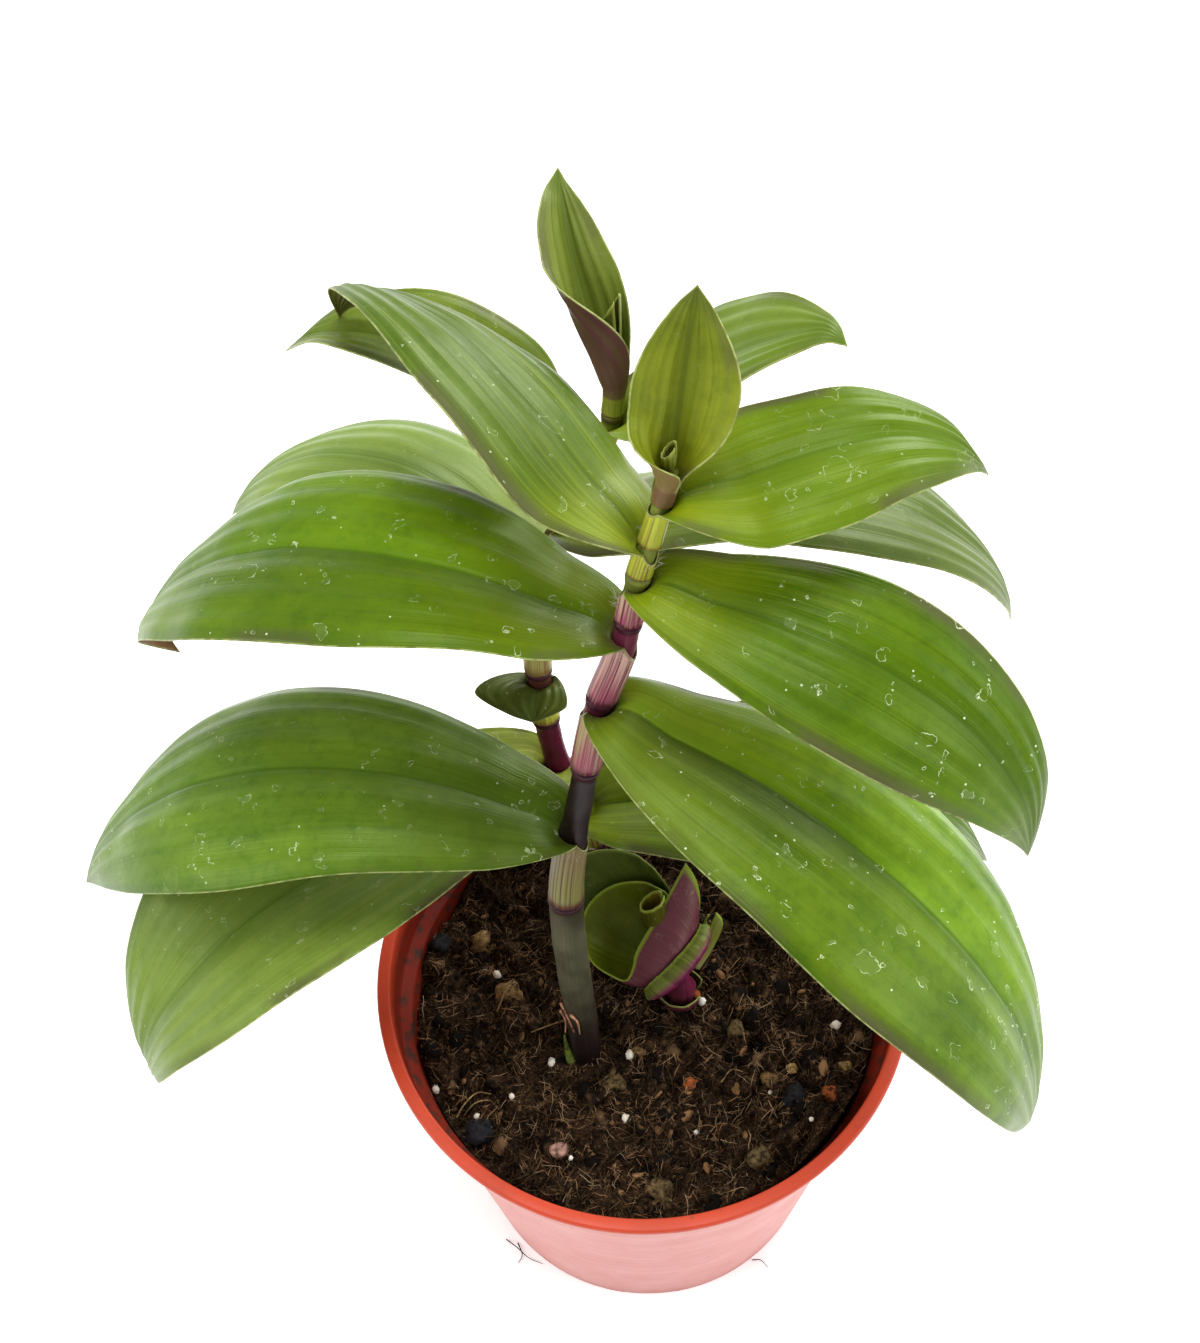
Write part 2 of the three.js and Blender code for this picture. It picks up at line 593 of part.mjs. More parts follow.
// The midrib of a blade and the directions across and out of it, at each share of its length.
function midrib(leaf, start, shares) {
  const rows = [];
  const point = start.clone();
  let walked = 0;
  const directions = (u) => {
    const hooked = leaf.hook * THREE.MathUtils.smoothstep(u, HOOK_START, 1);
    const slope = (leaf.rise + (leaf.fall - leaf.rise) * u ** leaf.bend - hooked) * DEG;
    const heading = (leaf.heading + leaf.turn * u) * DEG;
    const flat = Math.cos(slope);
    const along = new THREE.Vector3(flat * Math.cos(heading), flat * Math.sin(heading), Math.sin(slope));
    const across = new THREE.Vector3(-Math.sin(heading), Math.cos(heading), 0);
    const out = new THREE.Vector3().crossVectors(along, across);
    const lean = (leaf.roll + leaf.twist * u) * DEG;
    const side = across.clone().multiplyScalar(Math.cos(lean)).addScaledVector(out, Math.sin(lean));
    const normal = out.multiplyScalar(Math.cos(lean)).addScaledVector(across, -Math.sin(lean));
    return { along, side, normal };
  };
  for (const u of shares) {
    while (walked < Math.round(u * MIDRIB_STEPS)) {
      point.addScaledVector(directions((walked + 0.5) / MIDRIB_STEPS).along, leaf.length / MIDRIB_STEPS);
      walked += 1;
    }
    rows.push({ u, point: point.clone(), ...directions(u) });
  }
  return rows;
}

// How far round the stem a place across a blade's foot is.
function claspAngle(leaf, v) {
  return v * (v > 0 ? leaf.claspLeft : leaf.claspRight) * DEG;
}

// A point of a blade, v across it from -1 at its right margin to 1 at its left one. A furled blade is a roll
// of the given radius where open is 0.
function bladePoint(leaf, row, v, open, radius) {
  const t = Math.abs(v);
  const flattening = THREE.MathUtils.smoothstep(row.u, FLAT_TIP, 1);
  let fold = leaf.fold * DEG * (1 - FOLD_EASE * row.u) * (1 - flattening);
  let curl = leaf.curl * DEG;
  let halfWidth = (v > 0 ? leaf.left : leaf.right) * bladeProfile(leaf, row.u);
  if (leaf.furled) {
    const rolled = Math.abs(claspAngle(leaf, Math.sign(v)));
    fold *= open;
    curl = curl * open - rolled * (1 - open);
    halfWidth = rolled * radius * (1 - open) + halfWidth * open;
    curl = Math.abs(curl) < LEAST_CURL ? LEAST_CURL : curl;
  }
  const phase = leaf.phase + (v > 0 ? WAVE_OFFSET : 0);
  const ripple = leaf.wave * t * t * Math.sin(2 * Math.PI * leaf.waves * row.u + phase) * (1 - row.u);
  const sideways = (halfWidth * (Math.sin(fold) - Math.sin(fold - curl * t))) / curl;
  const raised = (halfWidth * (Math.cos(fold - curl * t) - Math.cos(fold))) / curl + ripple;
  const point = row.point.clone().addScaledVector(row.side, Math.sign(v) * sideways);
  return point.addScaledVector(row.normal, raised);
}

// A leaf: its sheath round the stem and its blade in one sheet. The blade starts on the sheath's mouth,
// opens from a cup round the stem, and ends in one point.
function leafSolid(leaf) {
  const wrapRadius = (z) => between(leaf.stem.radius, z) + GAP + LEAF / 2;
  const mouthRadius = wrapRadius(leaf.mouth) + MOUTH_FLARE;
  const centre = stemPoint(leaf.stem, leaf.mouth);
  const heading = leaf.heading * DEG;
  const facing = new THREE.Vector3(Math.cos(heading), Math.sin(heading), 0);
  const across = Array.from({ length: leaf.columns }, (_, k) => (2 * k) / (leaf.columns - 1) - 1);
  const angles = across.map((v) => claspAngle(leaf, v));
  const dips = across.map(() => 0);
  const behindArc = 2 * Math.PI - claspAngle(leaf, 1) + claspAngle(leaf, -1);
  const behindSteps = Math.max(2, Math.round(behindArc / (SHEATH_STEP * DEG)));
  for (let k = 1; k < behindSteps; k += 1) {
    angles.push(claspAngle(leaf, 1) + (behindArc * k) / behindSteps);
    dips.push(leaf.dip * Math.sin((Math.PI * k) / behindSteps));
  }
  const ring = angles.length;
  const points = [];
  const sheet = [];
  const onSheath = (z, angle, radius) => {
    const [first, second] = squareTo(stemDirection(leaf.stem, z), facing);
    const arm = first.multiplyScalar(Math.cos(angle)).addScaledVector(second, Math.sin(angle));
    return stemPoint(leaf.stem, z).addScaledVector(arm, radius);
  };
  const foot = leaf.node + SHEATH_FOOT;
  for (let i = 0; i <= SHEATH_ROWS; i += 1) {
    for (let k = 0; k < ring; k += 1) {
      const z = foot + ((leaf.mouth - dips[k] - foot) * i) / SHEATH_ROWS;
      points.push(onSheath(z, angles[k], i === SHEATH_ROWS ? mouthRadius : wrapRadius(z)));
    }
  }
  for (let i = 0; i < SHEATH_ROWS; i += 1) {
    for (let k = 0; k < ring; k += 1) {
      const next = (k + 1) % ring;
      sheet.push([i * ring + k, (i + 1) * ring + k, (i + 1) * ring + next, i * ring + next]);
    }
  }
  const rowCount = Math.max(LEAST_ROWS, Math.round(leaf.length / ROW_LENGTH));
  const shares = Array.from({ length: rowCount }, (_, i) => ((i + 1) / rowCount) ** ROW_SPREAD);
  const start = centre.clone().addScaledVector(facing, mouthRadius);
  const rows = midrib(leaf, start, shares);
  const tip = rows.pop();
  let below = SHEATH_ROWS * ring;
  for (const row of rows) {
    const walked = row.u * leaf.length;
    const open = THREE.MathUtils.smoothstep(walked, 0, leaf.throat);
    const reach = mouthRadius + leaf.flare * walked;
    const firstPoint = points.length;
    for (const v of across) {
      const spread = bladePoint(leaf, row, v, open, reach);
      const angle = heading + claspAngle(leaf, v);
      const cup = centre.clone().add(new THREE.Vector3(reach * Math.cos(angle), reach * Math.sin(angle), 0));
      cup.addScaledVector(UP, leaf.lift * walked);
      points.push(leaf.furled ? spread : cup.lerp(spread, open));
    }
    for (let k = 0; k + 1 < leaf.columns; k += 1) {
      sheet.push([below + k, firstPoint + k, firstPoint + k + 1, below + k + 1]);
    }
    below = firstPoint;
  }
  for (let k = 0; k + 1 < leaf.columns; k += 1) {
    sheet.push([below + k, points.length, below + k + 1]);
  }
  points.push(tip.point);
  return thicken(points, sheet, LEAF);
}

// A point of a rolled leaf, part of the way from the ring at its base to its free edge. turn is the share of
// the way round from the edge's first point. In between, the leaf bulges.
function rollPoint(leaf, tip, turn, share) {
  const axis = vector(leaf.axis).normalize();
  const base = vector(leaf.base);
  const [first, second] = squareTo(axis, ROLL_START);
  const angle = (leaf.start + leaf.sweep * turn) * DEG;
  const arm = first.multiplyScalar(Math.cos(angle)).addScaledVector(second, Math.sin(angle));
  const lapped = leaf.lap ? 1 - THREE.MathUtils.smoothstep(turn, leaf.lapEnd - LAP_EASE, leaf.lapEnd) : 0;
  const bulge = (leaf.bulge + (leaf.lap ?? 0) * lapped) * Math.sin(Math.PI * Math.min(share, 1));
  const point = base.addScaledVector(arm, leaf.baseRadius).lerp(tip, share).addScaledVector(arm, bulge);
  return { arm, point };
}

// A leaf still rolled into an open cone.
function rolledLeaf(leaf, [rows, columns]) {
  const edge = new THREE.CatmullRomCurve3(leaf.rim.map(vector));
  const points = [];
  const sheet = [];
  for (let i = 0; i <= rows; i += 1) {
    for (let k = 0; k < columns; k += 1) {
      const turn = k / (columns - 1);
      points.push(rollPoint(leaf, edge.getPoint(turn), turn, i / rows).point);
    }
  }
  for (let i = 0; i < rows; i += 1) {
    for (let k = 0; k + 1 < columns; k += 1) {
      const a = i * columns + k;
      sheet.push([a, a + columns, a + columns + 1, a + 1]);
    }
  }
  return thicken(points, sheet, LEAF);
}

function smallRoll(leaf) {
  const axis = vector(leaf.axis).normalize();
  const [first, second] = squareTo(axis, ROLL_START);
  const rim = Array.from({ length: SMALL_ROLL_CORNERS }, (_, i) => {
    const angle = (leaf.start + (leaf.sweep * i) / (SMALL_ROLL_CORNERS - 1)) * DEG;
    const along = leaf.reach + leaf.slant * Math.cos(angle - leaf.start * DEG);
    const arm = first.clone().multiplyScalar(Math.cos(angle)).addScaledVector(second, Math.sin(angle));
    return vector(leaf.base).addScaledVector(axis, along).addScaledVector(arm, leaf.mouth).toArray();
  });
  return { ...leaf, rim };
}

function wrapLeaf(inner, wrap) {
  const edge = new THREE.CatmullRomCurve3(inner.rim.map(vector));
  const rim = wrap.reach.map(([turn, reach]) => {
    const { arm, point } = rollPoint(inner, edge.getPoint(turn), turn, reach);
    return point.addScaledVector(arm, wrap.spacing).toArray();
  });
  return { ...wrap, base: inner.base, axis: inner.axis, rim };
}

const plant = new THREE.Group();

function add(name, geometry, material) {
  const mesh = new THREE.Mesh(geometry, material);
  mesh.name = name;
  plant.add(mesh);
}

add("pot", pot(), finish(POT_RED, 0.45));
add("soil", soil(), finish(SOIL_BROWN, 0.95));
add("main_stem", stemSolid(MAIN_STEM), finish(STEM_PURPLE, 0.4));
add("back_stem", stemSolid(BACK_STEM), finish(BACK_PURPLE, 0.4));
add("shoot_stem", stemSolid(SHOOT_STEM), finish(SHOOT_PURPLE, 0.4));
for (const [name, leaf] of Object.entries(LEAVES)) {
  const young = name.endsWith("_tip");
  add(name, leafSolid(leaf), finish(young ? YOUNG_GREEN : LEAF_GREEN, 0.4));
}
add("shoot_leaf_inner", rolledLeaf(SHOOT_INNER, ROLL_GRID), finish(ROLLED_GREEN, 0.45));
for (const [name, wrap] of Object.entries(SHOOT_WRAPS)) {
  add(name, rolledLeaf(wrapLeaf(SHOOT_INNER, wrap), WRAP_GRID), finish(ROLLED_GREEN, 0.45));
}
for (const [name, leaf] of Object.entries(SMALL_ROLLS)) {
  add(name, rolledLeaf(smallRoll(leaf), SMALL_ROLL_GRID), finish(ROLLED_GREEN, 0.45));
}

export default plant;
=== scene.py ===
"""A potted tradescantia: two leafy stems and a young rolled shoot in a red nursery pot.

Leaves, stems, soil and pot are shaped in millimetres, in the part's own frame, and become metres in
mesh_piece.
"""
import math

import bpy
import numpy as np
from mathutils import Matrix, Vector, noise


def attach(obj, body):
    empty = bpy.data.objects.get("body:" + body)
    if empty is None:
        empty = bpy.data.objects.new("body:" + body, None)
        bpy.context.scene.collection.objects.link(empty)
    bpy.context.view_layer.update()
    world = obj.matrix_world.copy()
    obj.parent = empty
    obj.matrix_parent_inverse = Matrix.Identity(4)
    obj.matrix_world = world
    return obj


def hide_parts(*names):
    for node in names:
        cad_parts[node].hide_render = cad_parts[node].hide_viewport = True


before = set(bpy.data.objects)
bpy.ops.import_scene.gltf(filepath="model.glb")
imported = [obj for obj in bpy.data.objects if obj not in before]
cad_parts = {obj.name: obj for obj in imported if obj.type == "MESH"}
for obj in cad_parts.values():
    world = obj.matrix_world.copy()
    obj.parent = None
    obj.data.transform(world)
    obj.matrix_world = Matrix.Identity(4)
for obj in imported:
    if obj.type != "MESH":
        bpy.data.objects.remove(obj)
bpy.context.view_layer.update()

MM = 0.001
UP = np.array([0.0, 0.0, 1.0])

# ---------------------------------------------------------------- measures, in millimetres and degrees

POT_HEIGHT = 95
RIM_RADIUS = 60
LIP_WIDTH = 3
LIP_THICKNESS = 1.7
BAND_HEIGHT = 11
BODY_TOP_RADIUS = 54.8
FOOT_RADIUS = 44
FOOT_RING_WIDTH = 3
WALL = 1.3
FLOOR_HEIGHT = 2.2
WELL_RADIUS = 14
WELL_SLOPE = 2.5
CORNER, LONGEST_EDGE = 2, 4
DRAIN_COUNT, DRAIN_RADIUS, DRAIN_CIRCLE = 8, 3.5, 29
NOTCH_COUNT, NOTCH_WIDTH, NOTCH_HEIGHT, NOTCH_REACH = 6, 13, 1.2, 6
LIP_BOTTOM = POT_HEIGHT - LIP_THICKNESS
WALL_TOP = LIP_BOTTOM - BAND_HEIGHT - 1.5
BAND_FOOT = WALL_TOP + 2.5
BAND_RADIUS = RIM_RADIUS - LIP_WIDTH + WALL
BAND_FOOT_RADIUS = BAND_RADIUS - 0.8
POT_SIDES, DRILL_SIDES = 192, 32
# Tops of the pot's painted skins: bounce light from the floor painted pale on the outer wall, and painted
# shade with soil stains inside.
SKIN_DEPTH, BOUNCE_LIT_TOP, SHADE_AND_STAIN_TOP = 0.45, LIP_BOTTOM + 0.05, POT_HEIGHT - 0.9
CUTTER_BELOW = -2

SOIL_LEVEL = 79
SOIL_TILT = (3.6, -1.6)
CRUMB_HEIGHT = 1.3
LUMP_COUNT, LUMP_SEED = 26, 7
LUMP_HEIGHT, LUMP_SPREAD = (1.2, 3.6), (3.5, 7.5)
FIRMED_RADIUS = 6
SOIL_RINGS, SOIL_SECTORS = 130, 400
# Clods: height, size and seed. The first are ridged.
SOIL_CLODS = ((2.0, 7.0, 1), (1.5, 3.0, 2), (0.9, 1.4, 3))
BURIED_RINGS = (52, 26)
PERLITE = [(-21.2, -15.4), (-37.9, -27.7), (-34.8, -30.9), (-16.6, -38.7), (43.5, -9.4), (35.9, -33.2),
           (0.3, 3.1), (13.6, -1.9), (27.8, -24.5), (-3.3, -14.1), (-29.9, -24.3), (-47.5, -20.8),
           (-4.4, -30.3), (11, -33), (-34.4, 6.9)]
PERLITE_RISE = 0.7
# Pebbles and clumps: place on the soil, size, and tone.
PINK_STONE, TAN_CLUMP, MOSS_CLUMP = (0.3, 0.17, 0.13), (0.2, 0.12, 0.045), (0.11, 0.075, 0.03)
STRAW_CLUMP, RUST_BIT, BLACK_CLOD = (0.42, 0.28, 0.1), (0.3, 0.08, 0.02), (0.012, 0.012, 0.014)
PEBBLES = [(-19.3, -37, 4.2, PINK_STONE), (12.1, -0.2, 2.4, RUST_BIT), (-38, 16.7, 6.5, TAN_CLUMP),
           (-31.2, 1.7, 6, TAN_CLUMP), (-6.4, -20.6, 5.5, MOSS_CLUMP), (28, -21.1, 4.5, TAN_CLUMP),
           (33, -19.6, 2.6, STRAW_CLUMP), (45, -19.5, 3.8, STRAW_CLUMP), (40.7, -26.5, 4.4, RUST_BIT),
           (47.5, -11.6, 3.8, MOSS_CLUMP), (32.9, -26.8, 5.5, BLACK_CLOD), (-36.9, -31.7, 6.6, BLACK_CLOD),
           (20.8, -9.5, 4.4, MOSS_CLUMP), (10.1, -22.2, 3.4, RUST_BIT), (2.7, -45.8, 6, MOSS_CLUMP),
           (-1, -13.3, 3, TAN_CLUMP), (-48.2, 14.9, 5, BLACK_CLOD), (24.6, -40.1, 5.5, MOSS_CLUMP),
           (9.7, 0.4, 4.2, (0.36, 0.16, 0.13))]
SURFACE_ROOTS = [
    [(-42.4, -28, 1.2), (-40.9, -25.8, 2), (-37.9, -22.4, 2.6), (-34.7, -23.1, 1.5)],
    [(-41, -27, 1), (-38, -25.5, 2.2), (-35, -24.6, 2), (-33, -26, 1)],
    [(-34, -3, 1), (-31.5, 0.5, 4.5), (-29.5, 3.5, 3.5), (-28.6, 0, 1.5)],
    [(17, -22, 0.8), (19.5, -19.5, 2), (22, -20, 1)],
    [(-26, -8, 0.8), (-22, -6.5, 2.5), (-17.5, -6, 3)],
]
ROOT_ENDS = [
    [(-37, -29.6, 0.5), (-34.2, -32, 1.6), (-31, -34.5, 0.5), (-27.5, -36, 0.4)],
    [(-34, -30.5, 0.4), (-32.8, -33.8, 0.4), (-33.8, -35.8, 0.4)],
    [(26.5, -35.9, 0.5), (28.6, -36.2, 1.2), (30.4, -37.9, 0.4)],
]
ROOT_THICKNESS, STRAW_THICKNESS, SCRAP_THICKNESS = 0.17, 0.2, 0.35
ROOT_TONE, STRAW_TONE, SCRAP_TONE = (0.03, 0.012, 0.008), (0.3, 0.2, 0.08), (0.5, 0.26, 0.15)
# Dry scraps caught on the main stem and a sprout beside its foot: turn round the stem, height, and distance
# off it.
STEM_SCRAPS = [
    [(-160, 102, 0.5), (-135, 99, 0.3), (-112, 94, 0.6)],
    [(-112, 101.5, 0.8), (-98, 98.5, 0.3), (-95, 93.5, 0.5)],
    [(-168, 98, 0.8), (-158, 95, 0.2), (-150, 91, 0.9)],
]
SPROUT = [(-150, 78, 0.6), (-158, 83, 0.9), (-166, 88, 0.9)]
SPROUT_TONE = (0.13, 0.18, 0.03)
CHIP_SIDES, STRAND_SIDES, STRAND_UP = 7, 3, (0.02, 1.0, 0.3)
HAIRY_LEAVES = ["main_leaf_low_left", "main_leaf_low_right", "main_leaf_middle_left",
                "main_leaf_middle_right", "main_leaf_high_left"]
HAIRS_PER_MOUTH, HAIRY_BAND, HAIR_FOOT = 46, 1.6, 0.8

GAP = 0.35
LEAF = 0.7
THIN_EDGE = 0.26
GRAIN_LENGTH = 10
BURIED = 52
MAIN_STEM = dict(
    line=[(-13, -14, BURIED), (-13.3, -12.6, 80), (-15.1, -6.6, 139.6), (-10.3, -2.9, 176), (-6.8, -0.8, 197),
          (-2.2, 0.7, 212.5), (0.6, 2.3, 228.5), (3.6, 3.5, 240.5), (6.2, 4.4, 252)],
    radius=[(BURIED, 3.1), (80, 3.5), (135, 3.6), (142, 3.0), (176, 2.4), (212, 2.2), (228, 1.7), (240, 1.4),
            (252, 1.2)],
    nodes=[139.6, 181, 199.8, 219, 229.6],
    tones=[(78, (0.008, 0.004, 0.005)), (90, (0.03, 0.018, 0.018)), (104, (0.085, 0.083, 0.05)),
           (128, (0.09, 0.092, 0.05)), (138, (0.045, 0.04, 0.02)), (141, (0.04, 0.01, 0.014)),
           (162, (0.01, 0.005, 0.004)), (178, (0.013, 0.005, 0.006)), (182, (0.06, 0.008, 0.02)),
           (197, (0.12, 0.018, 0.04)), (218, (0.16, 0.022, 0.055)), (221, (0.07, 0.008, 0.025)),
           (228, (0.2, 0.24, 0.04)), (252, (0.17, 0.2, 0.03))],
)
BACK_STEM = dict(
    line=[(-9.5, 29.5, BURIED), (-9.9, 29.8, 80), (-11.2, 31.7, 98.2), (-18.1, 34.7, 129), (-20.4, 37.7, 159),
          (-18.9, 39.6, 178), (-14.8, 41.3, 194.5), (-9.6, 42.8, 209.5), (-4, 43.9, 221), (-2.2, 44.8, 235)],
    radius=[(BURIED, 2.9), (80, 3.1), (128, 2.7), (150, 2.5), (190, 2.1), (215, 1.8), (235, 1.3)],
    nodes=[98, 116, 142.5, 158, 187, 201, 214, 225],
    tones=[(80, (0.05, 0.04, 0.015)), (112, (0.08, 0.02, 0.03)), (127, (0.1, 0.004, 0.03)),
           (150, (0.1, 0.005, 0.032)), (157, (0.12, 0.05, 0.03)), (185, (0.18, 0.2, 0.04)),
           (212, (0.12, 0.03, 0.03)), (216, (0.2, 0.24, 0.03)), (235, (0.2, 0.24, 0.03))],
)
SHOOT_STEM = dict(
    line=[(8.5, 0, BURIED), (8.7, 0.6, 80), (9, 1.6, 85), (8, 3.2, 88.5), (6.6, 4.2, 90.3)],
    radius=[(BURIED, 2.6), (80, 3.3), (83.6, 3.4), (84.8, 2.2), (86.5, 1.9), (90.3, 1.8)],
    nodes=[],
    tones=[(80, (0.16, 0.05, 0.05)), (84, (0.14, 0.014, 0.045)), (90, (0.16, 0.014, 0.055))],
)
RING_SHAPE = [(2.4, 0), (1.8, 0.12), (1.1, 0.36), (0.5, 0.5), (0.1, 0.44), (-0.1, 0.2), (-0.3, 0)]
STEM_SIDES, STEM_STEP, HALF_STEP = 40, 1.5, 0.5
SHEATH_EASE = 3
STEM_WOBBLES = ((0.06, 0.41, 1.0), (0.03, 0.97, 0.0))
PALE_RINGS = (222, 230)

# Leaves. Each wraps its stem as a sheath from node to mouth, and its blade leaves the mouth to one side.
# heading and turn: the blade's compass direction, 0 along +X and 90 away from the viewer, and its change to
# the tip. rise and fall: its slope at its base and at its tip. bend: how late the slope changes. hook: how
# much more its very tip turns down. left and right: half widths. belly: where it is widest. base_width: its
# width at its base, as a share of its widest. roll and twist: its lean to one side. fold: how far the halves
# stand up from the midrib. curl: how far they arch over. wave, waves and phase: the ripples along its
# margins. clasp_left and clasp_right: how far round the stem its foot reaches. dip: how much lower the mouth
# is behind the stem. throat: how far the blade stays cupped, opening by flare and lift for each millimetre.
# A furled leaf's halves are rolled round the stem there instead.
LARGE_LEAF = dict(furled=False, base_width=0.38, throat=12, clasp_left=115, clasp_right=115, flare=0.5,
                  lift=0.7, dip=3.5, wave=0.7, waves=3, hook=0)
TIP_LEAF = dict(furled=True, dip=0.5, wave=0.2, waves=2, hook=0)
LEAVES = {
    "main_leaf_low_left": dict(
        LARGE_LEAF, stem=MAIN_STEM, node=139.6, mouth=161, heading=166, turn=18, rise=33, fall=-69,
        bend=0.97, length=126, left=25, right=24, belly=0.5, roll=3, twist=-1, fold=14, curl=40, phase=0.4),
    "main_leaf_low_right": dict(
        LARGE_LEAF, stem=MAIN_STEM, node=181, mouth=197.5, heading=-25, turn=-21, rise=-8.5, fall=-101,
        bend=2, length=131, left=23.6, right=26, belly=0.45, roll=-6.5, twist=-12, fold=16, curl=41,
        phase=1.9),
    "main_leaf_middle_left": dict(
        LARGE_LEAF, stem=MAIN_STEM, node=199.8, mouth=215, clasp_left=105, clasp_right=105, hook=75,
        heading=162.5, turn=1.5, rise=25, fall=-73, bend=1.14, length=119, left=22.5, right=22.5,
        belly=0.45, roll=8.5, twist=-8, fold=17.5, curl=32.5, phase=3.1),
    "main_leaf_middle_right": dict(
        LARGE_LEAF, stem=MAIN_STEM, node=219, mouth=227.3, heading=-23, turn=-1, rise=8.5, fall=-89.5,
        bend=1.49, length=93, left=13.6, right=16.9, belly=0.44, roll=13.5, twist=17.5, fold=12, curl=23.5,
        phase=5.2),
    "main_leaf_high_left": dict(
        LARGE_LEAF, stem=MAIN_STEM, node=229.6, mouth=235.5, dip=2, heading=134, turn=0, rise=31, fall=-72,
        bend=2.22, length=88, left=17.6, right=16, belly=0.25, roll=23.5, twist=17.5, fold=9, curl=29,
        phase=0.9),
    "main_leaf_high_right": dict(
        LARGE_LEAF, stem=MAIN_STEM, node=236.3, mouth=244.2, dip=1, heading=12, turn=-1, rise=17, fall=-72,
        bend=2.6, length=59, left=13.5, right=14.5, belly=0.28, roll=3.5, twist=11, fold=12, curl=28,
        phase=2.4),
    "main_leaf_tip": dict(
        TIP_LEAF, stem=MAIN_STEM, node=244.9, mouth=249, base_width=0.61, throat=12.5, flare=0.26,
        clasp_left=241, clasp_right=104, heading=70, turn=-1, rise=73, fall=62, bend=1, length=31, left=8.5,
        right=9.9, belly=0.5, roll=9.5, twist=8.5, fold=38, curl=3, phase=0),
    "back_leaf_low_right": dict(
        LARGE_LEAF, stem=BACK_STEM, node=98, mouth=110, heading=-11, turn=13, rise=36, fall=-72, bend=1.42,
        length=109, left=22, right=22, belly=0.39, roll=0, twist=0, fold=20, curl=18, phase=4.4),
    "back_leaf_low_left": dict(
        LARGE_LEAF, stem=BACK_STEM, node=116, mouth=127, hook=35, heading=215, turn=2, rise=16, fall=-96,
        bend=2.59, length=126, left=26.5, right=27, belly=0.49, roll=4, twist=4, fold=25, curl=16,
        phase=1.2),
    "back_leaf_stub": dict(
        LARGE_LEAF, stem=BACK_STEM, node=142.5, mouth=154.5, base_width=0.8, throat=4, dip=1, wave=0,
        heading=-97, turn=1, rise=25, fall=-30, bend=0.8, length=8, left=7, right=13.5, belly=0.35, roll=-8,
        twist=0, fold=10, curl=10, phase=0),
    "back_leaf_middle_left": dict(
        LARGE_LEAF, stem=BACK_STEM, node=158, mouth=184, heading=141, turn=35, rise=50, fall=-66, bend=0.98,
        length=87, left=22, right=21.5, belly=0.36, roll=6, twist=3, fold=2, curl=34, phase=3.7),
    "back_leaf_middle_right": dict(
        LARGE_LEAF, stem=BACK_STEM, node=187, mouth=198, base_width=0.78, heading=-10, turn=-4, rise=32,
        fall=-83, bend=1.87, length=102, left=19, right=19, belly=0.41, roll=-18, twist=1, fold=15, curl=32,
        phase=0.2),
    "back_leaf_high_left": dict(
        LARGE_LEAF, stem=BACK_STEM, node=201, mouth=211, dip=2.5, heading=163, turn=1, rise=55, fall=-48,
        bend=1.73, length=66, left=15, right=15, belly=0.39, roll=10, twist=1, fold=28, curl=8, phase=2.9),
    "back_leaf_high_right": dict(
        LARGE_LEAF, stem=BACK_STEM, node=214, mouth=222, dip=2, hook=70, heading=-13, turn=-23, rise=55,
        fall=27, bend=1.38, length=56, left=15, right=15, belly=0.43, roll=1, twist=4, fold=18, curl=20,
        phase=5.6),
    "back_leaf_tip": dict(
        TIP_LEAF, stem=BACK_STEM, node=225, mouth=230, base_width=0.65, throat=25, flare=0.21,
        clasp_left=225, clasp_right=113, heading=125, turn=-33, rise=76.5, fall=20, bend=0.68, length=40.5,
        left=9.2, right=7.1, belly=0.46, roll=9, twist=-4, fold=52, curl=9.5, phase=0),
}
SHEATH_FOOT, MOUTH_FLARE, FLARE_HEIGHT = 0.6, 0.1, 2.5
FOLD_EASE, FLAT_TIP, WAVE_OFFSET, HOOK_START, LEAST_CURL = 0.35, 0.8, 1.3, 0.88, 0.02
FOOT_CURVE, SHOULDER_CURVE, POINT_CURVE = 0.9, 1.9, 1.12
BLADE_HALF_COLUMNS, ROW_LENGTH, FEWEST_ROWS, SHEATH_ROWS, SHEATH_STEP = 28, 1.15, 24, 14, 8
ROW_CROWDING, LAST_ROW, MIDRIB_STEPS = 1.1, 0.35, 240
PLEAT_HEIGHT, PLEATS, PLEAT_MARGIN = 0.15, 3.5, 3
GROOVE_DEPTH, GROOVE_WIDTH, GROOVE_BELOW, THIN_MARGIN = 0.3, 0.8, 0.9, 3.5
SHEATH_TUCK, SHEATH_THICKNESS, FILLED = 0.3, 0.4, 0.14
# Shares of a blade's length over which its relief, its groove and its full thickness come in, and go out.
RELIEF_IN, RELIEF_OUT, THICKENING = (0.04, 0.3), (0, 0.12), 0.06
GROOVE_IN, GROOVE_OUT = (-0.02, 0.1), (0.02, 0.3)
WARPS = ((0.9, 34, 0), (0.35, 11, 3))

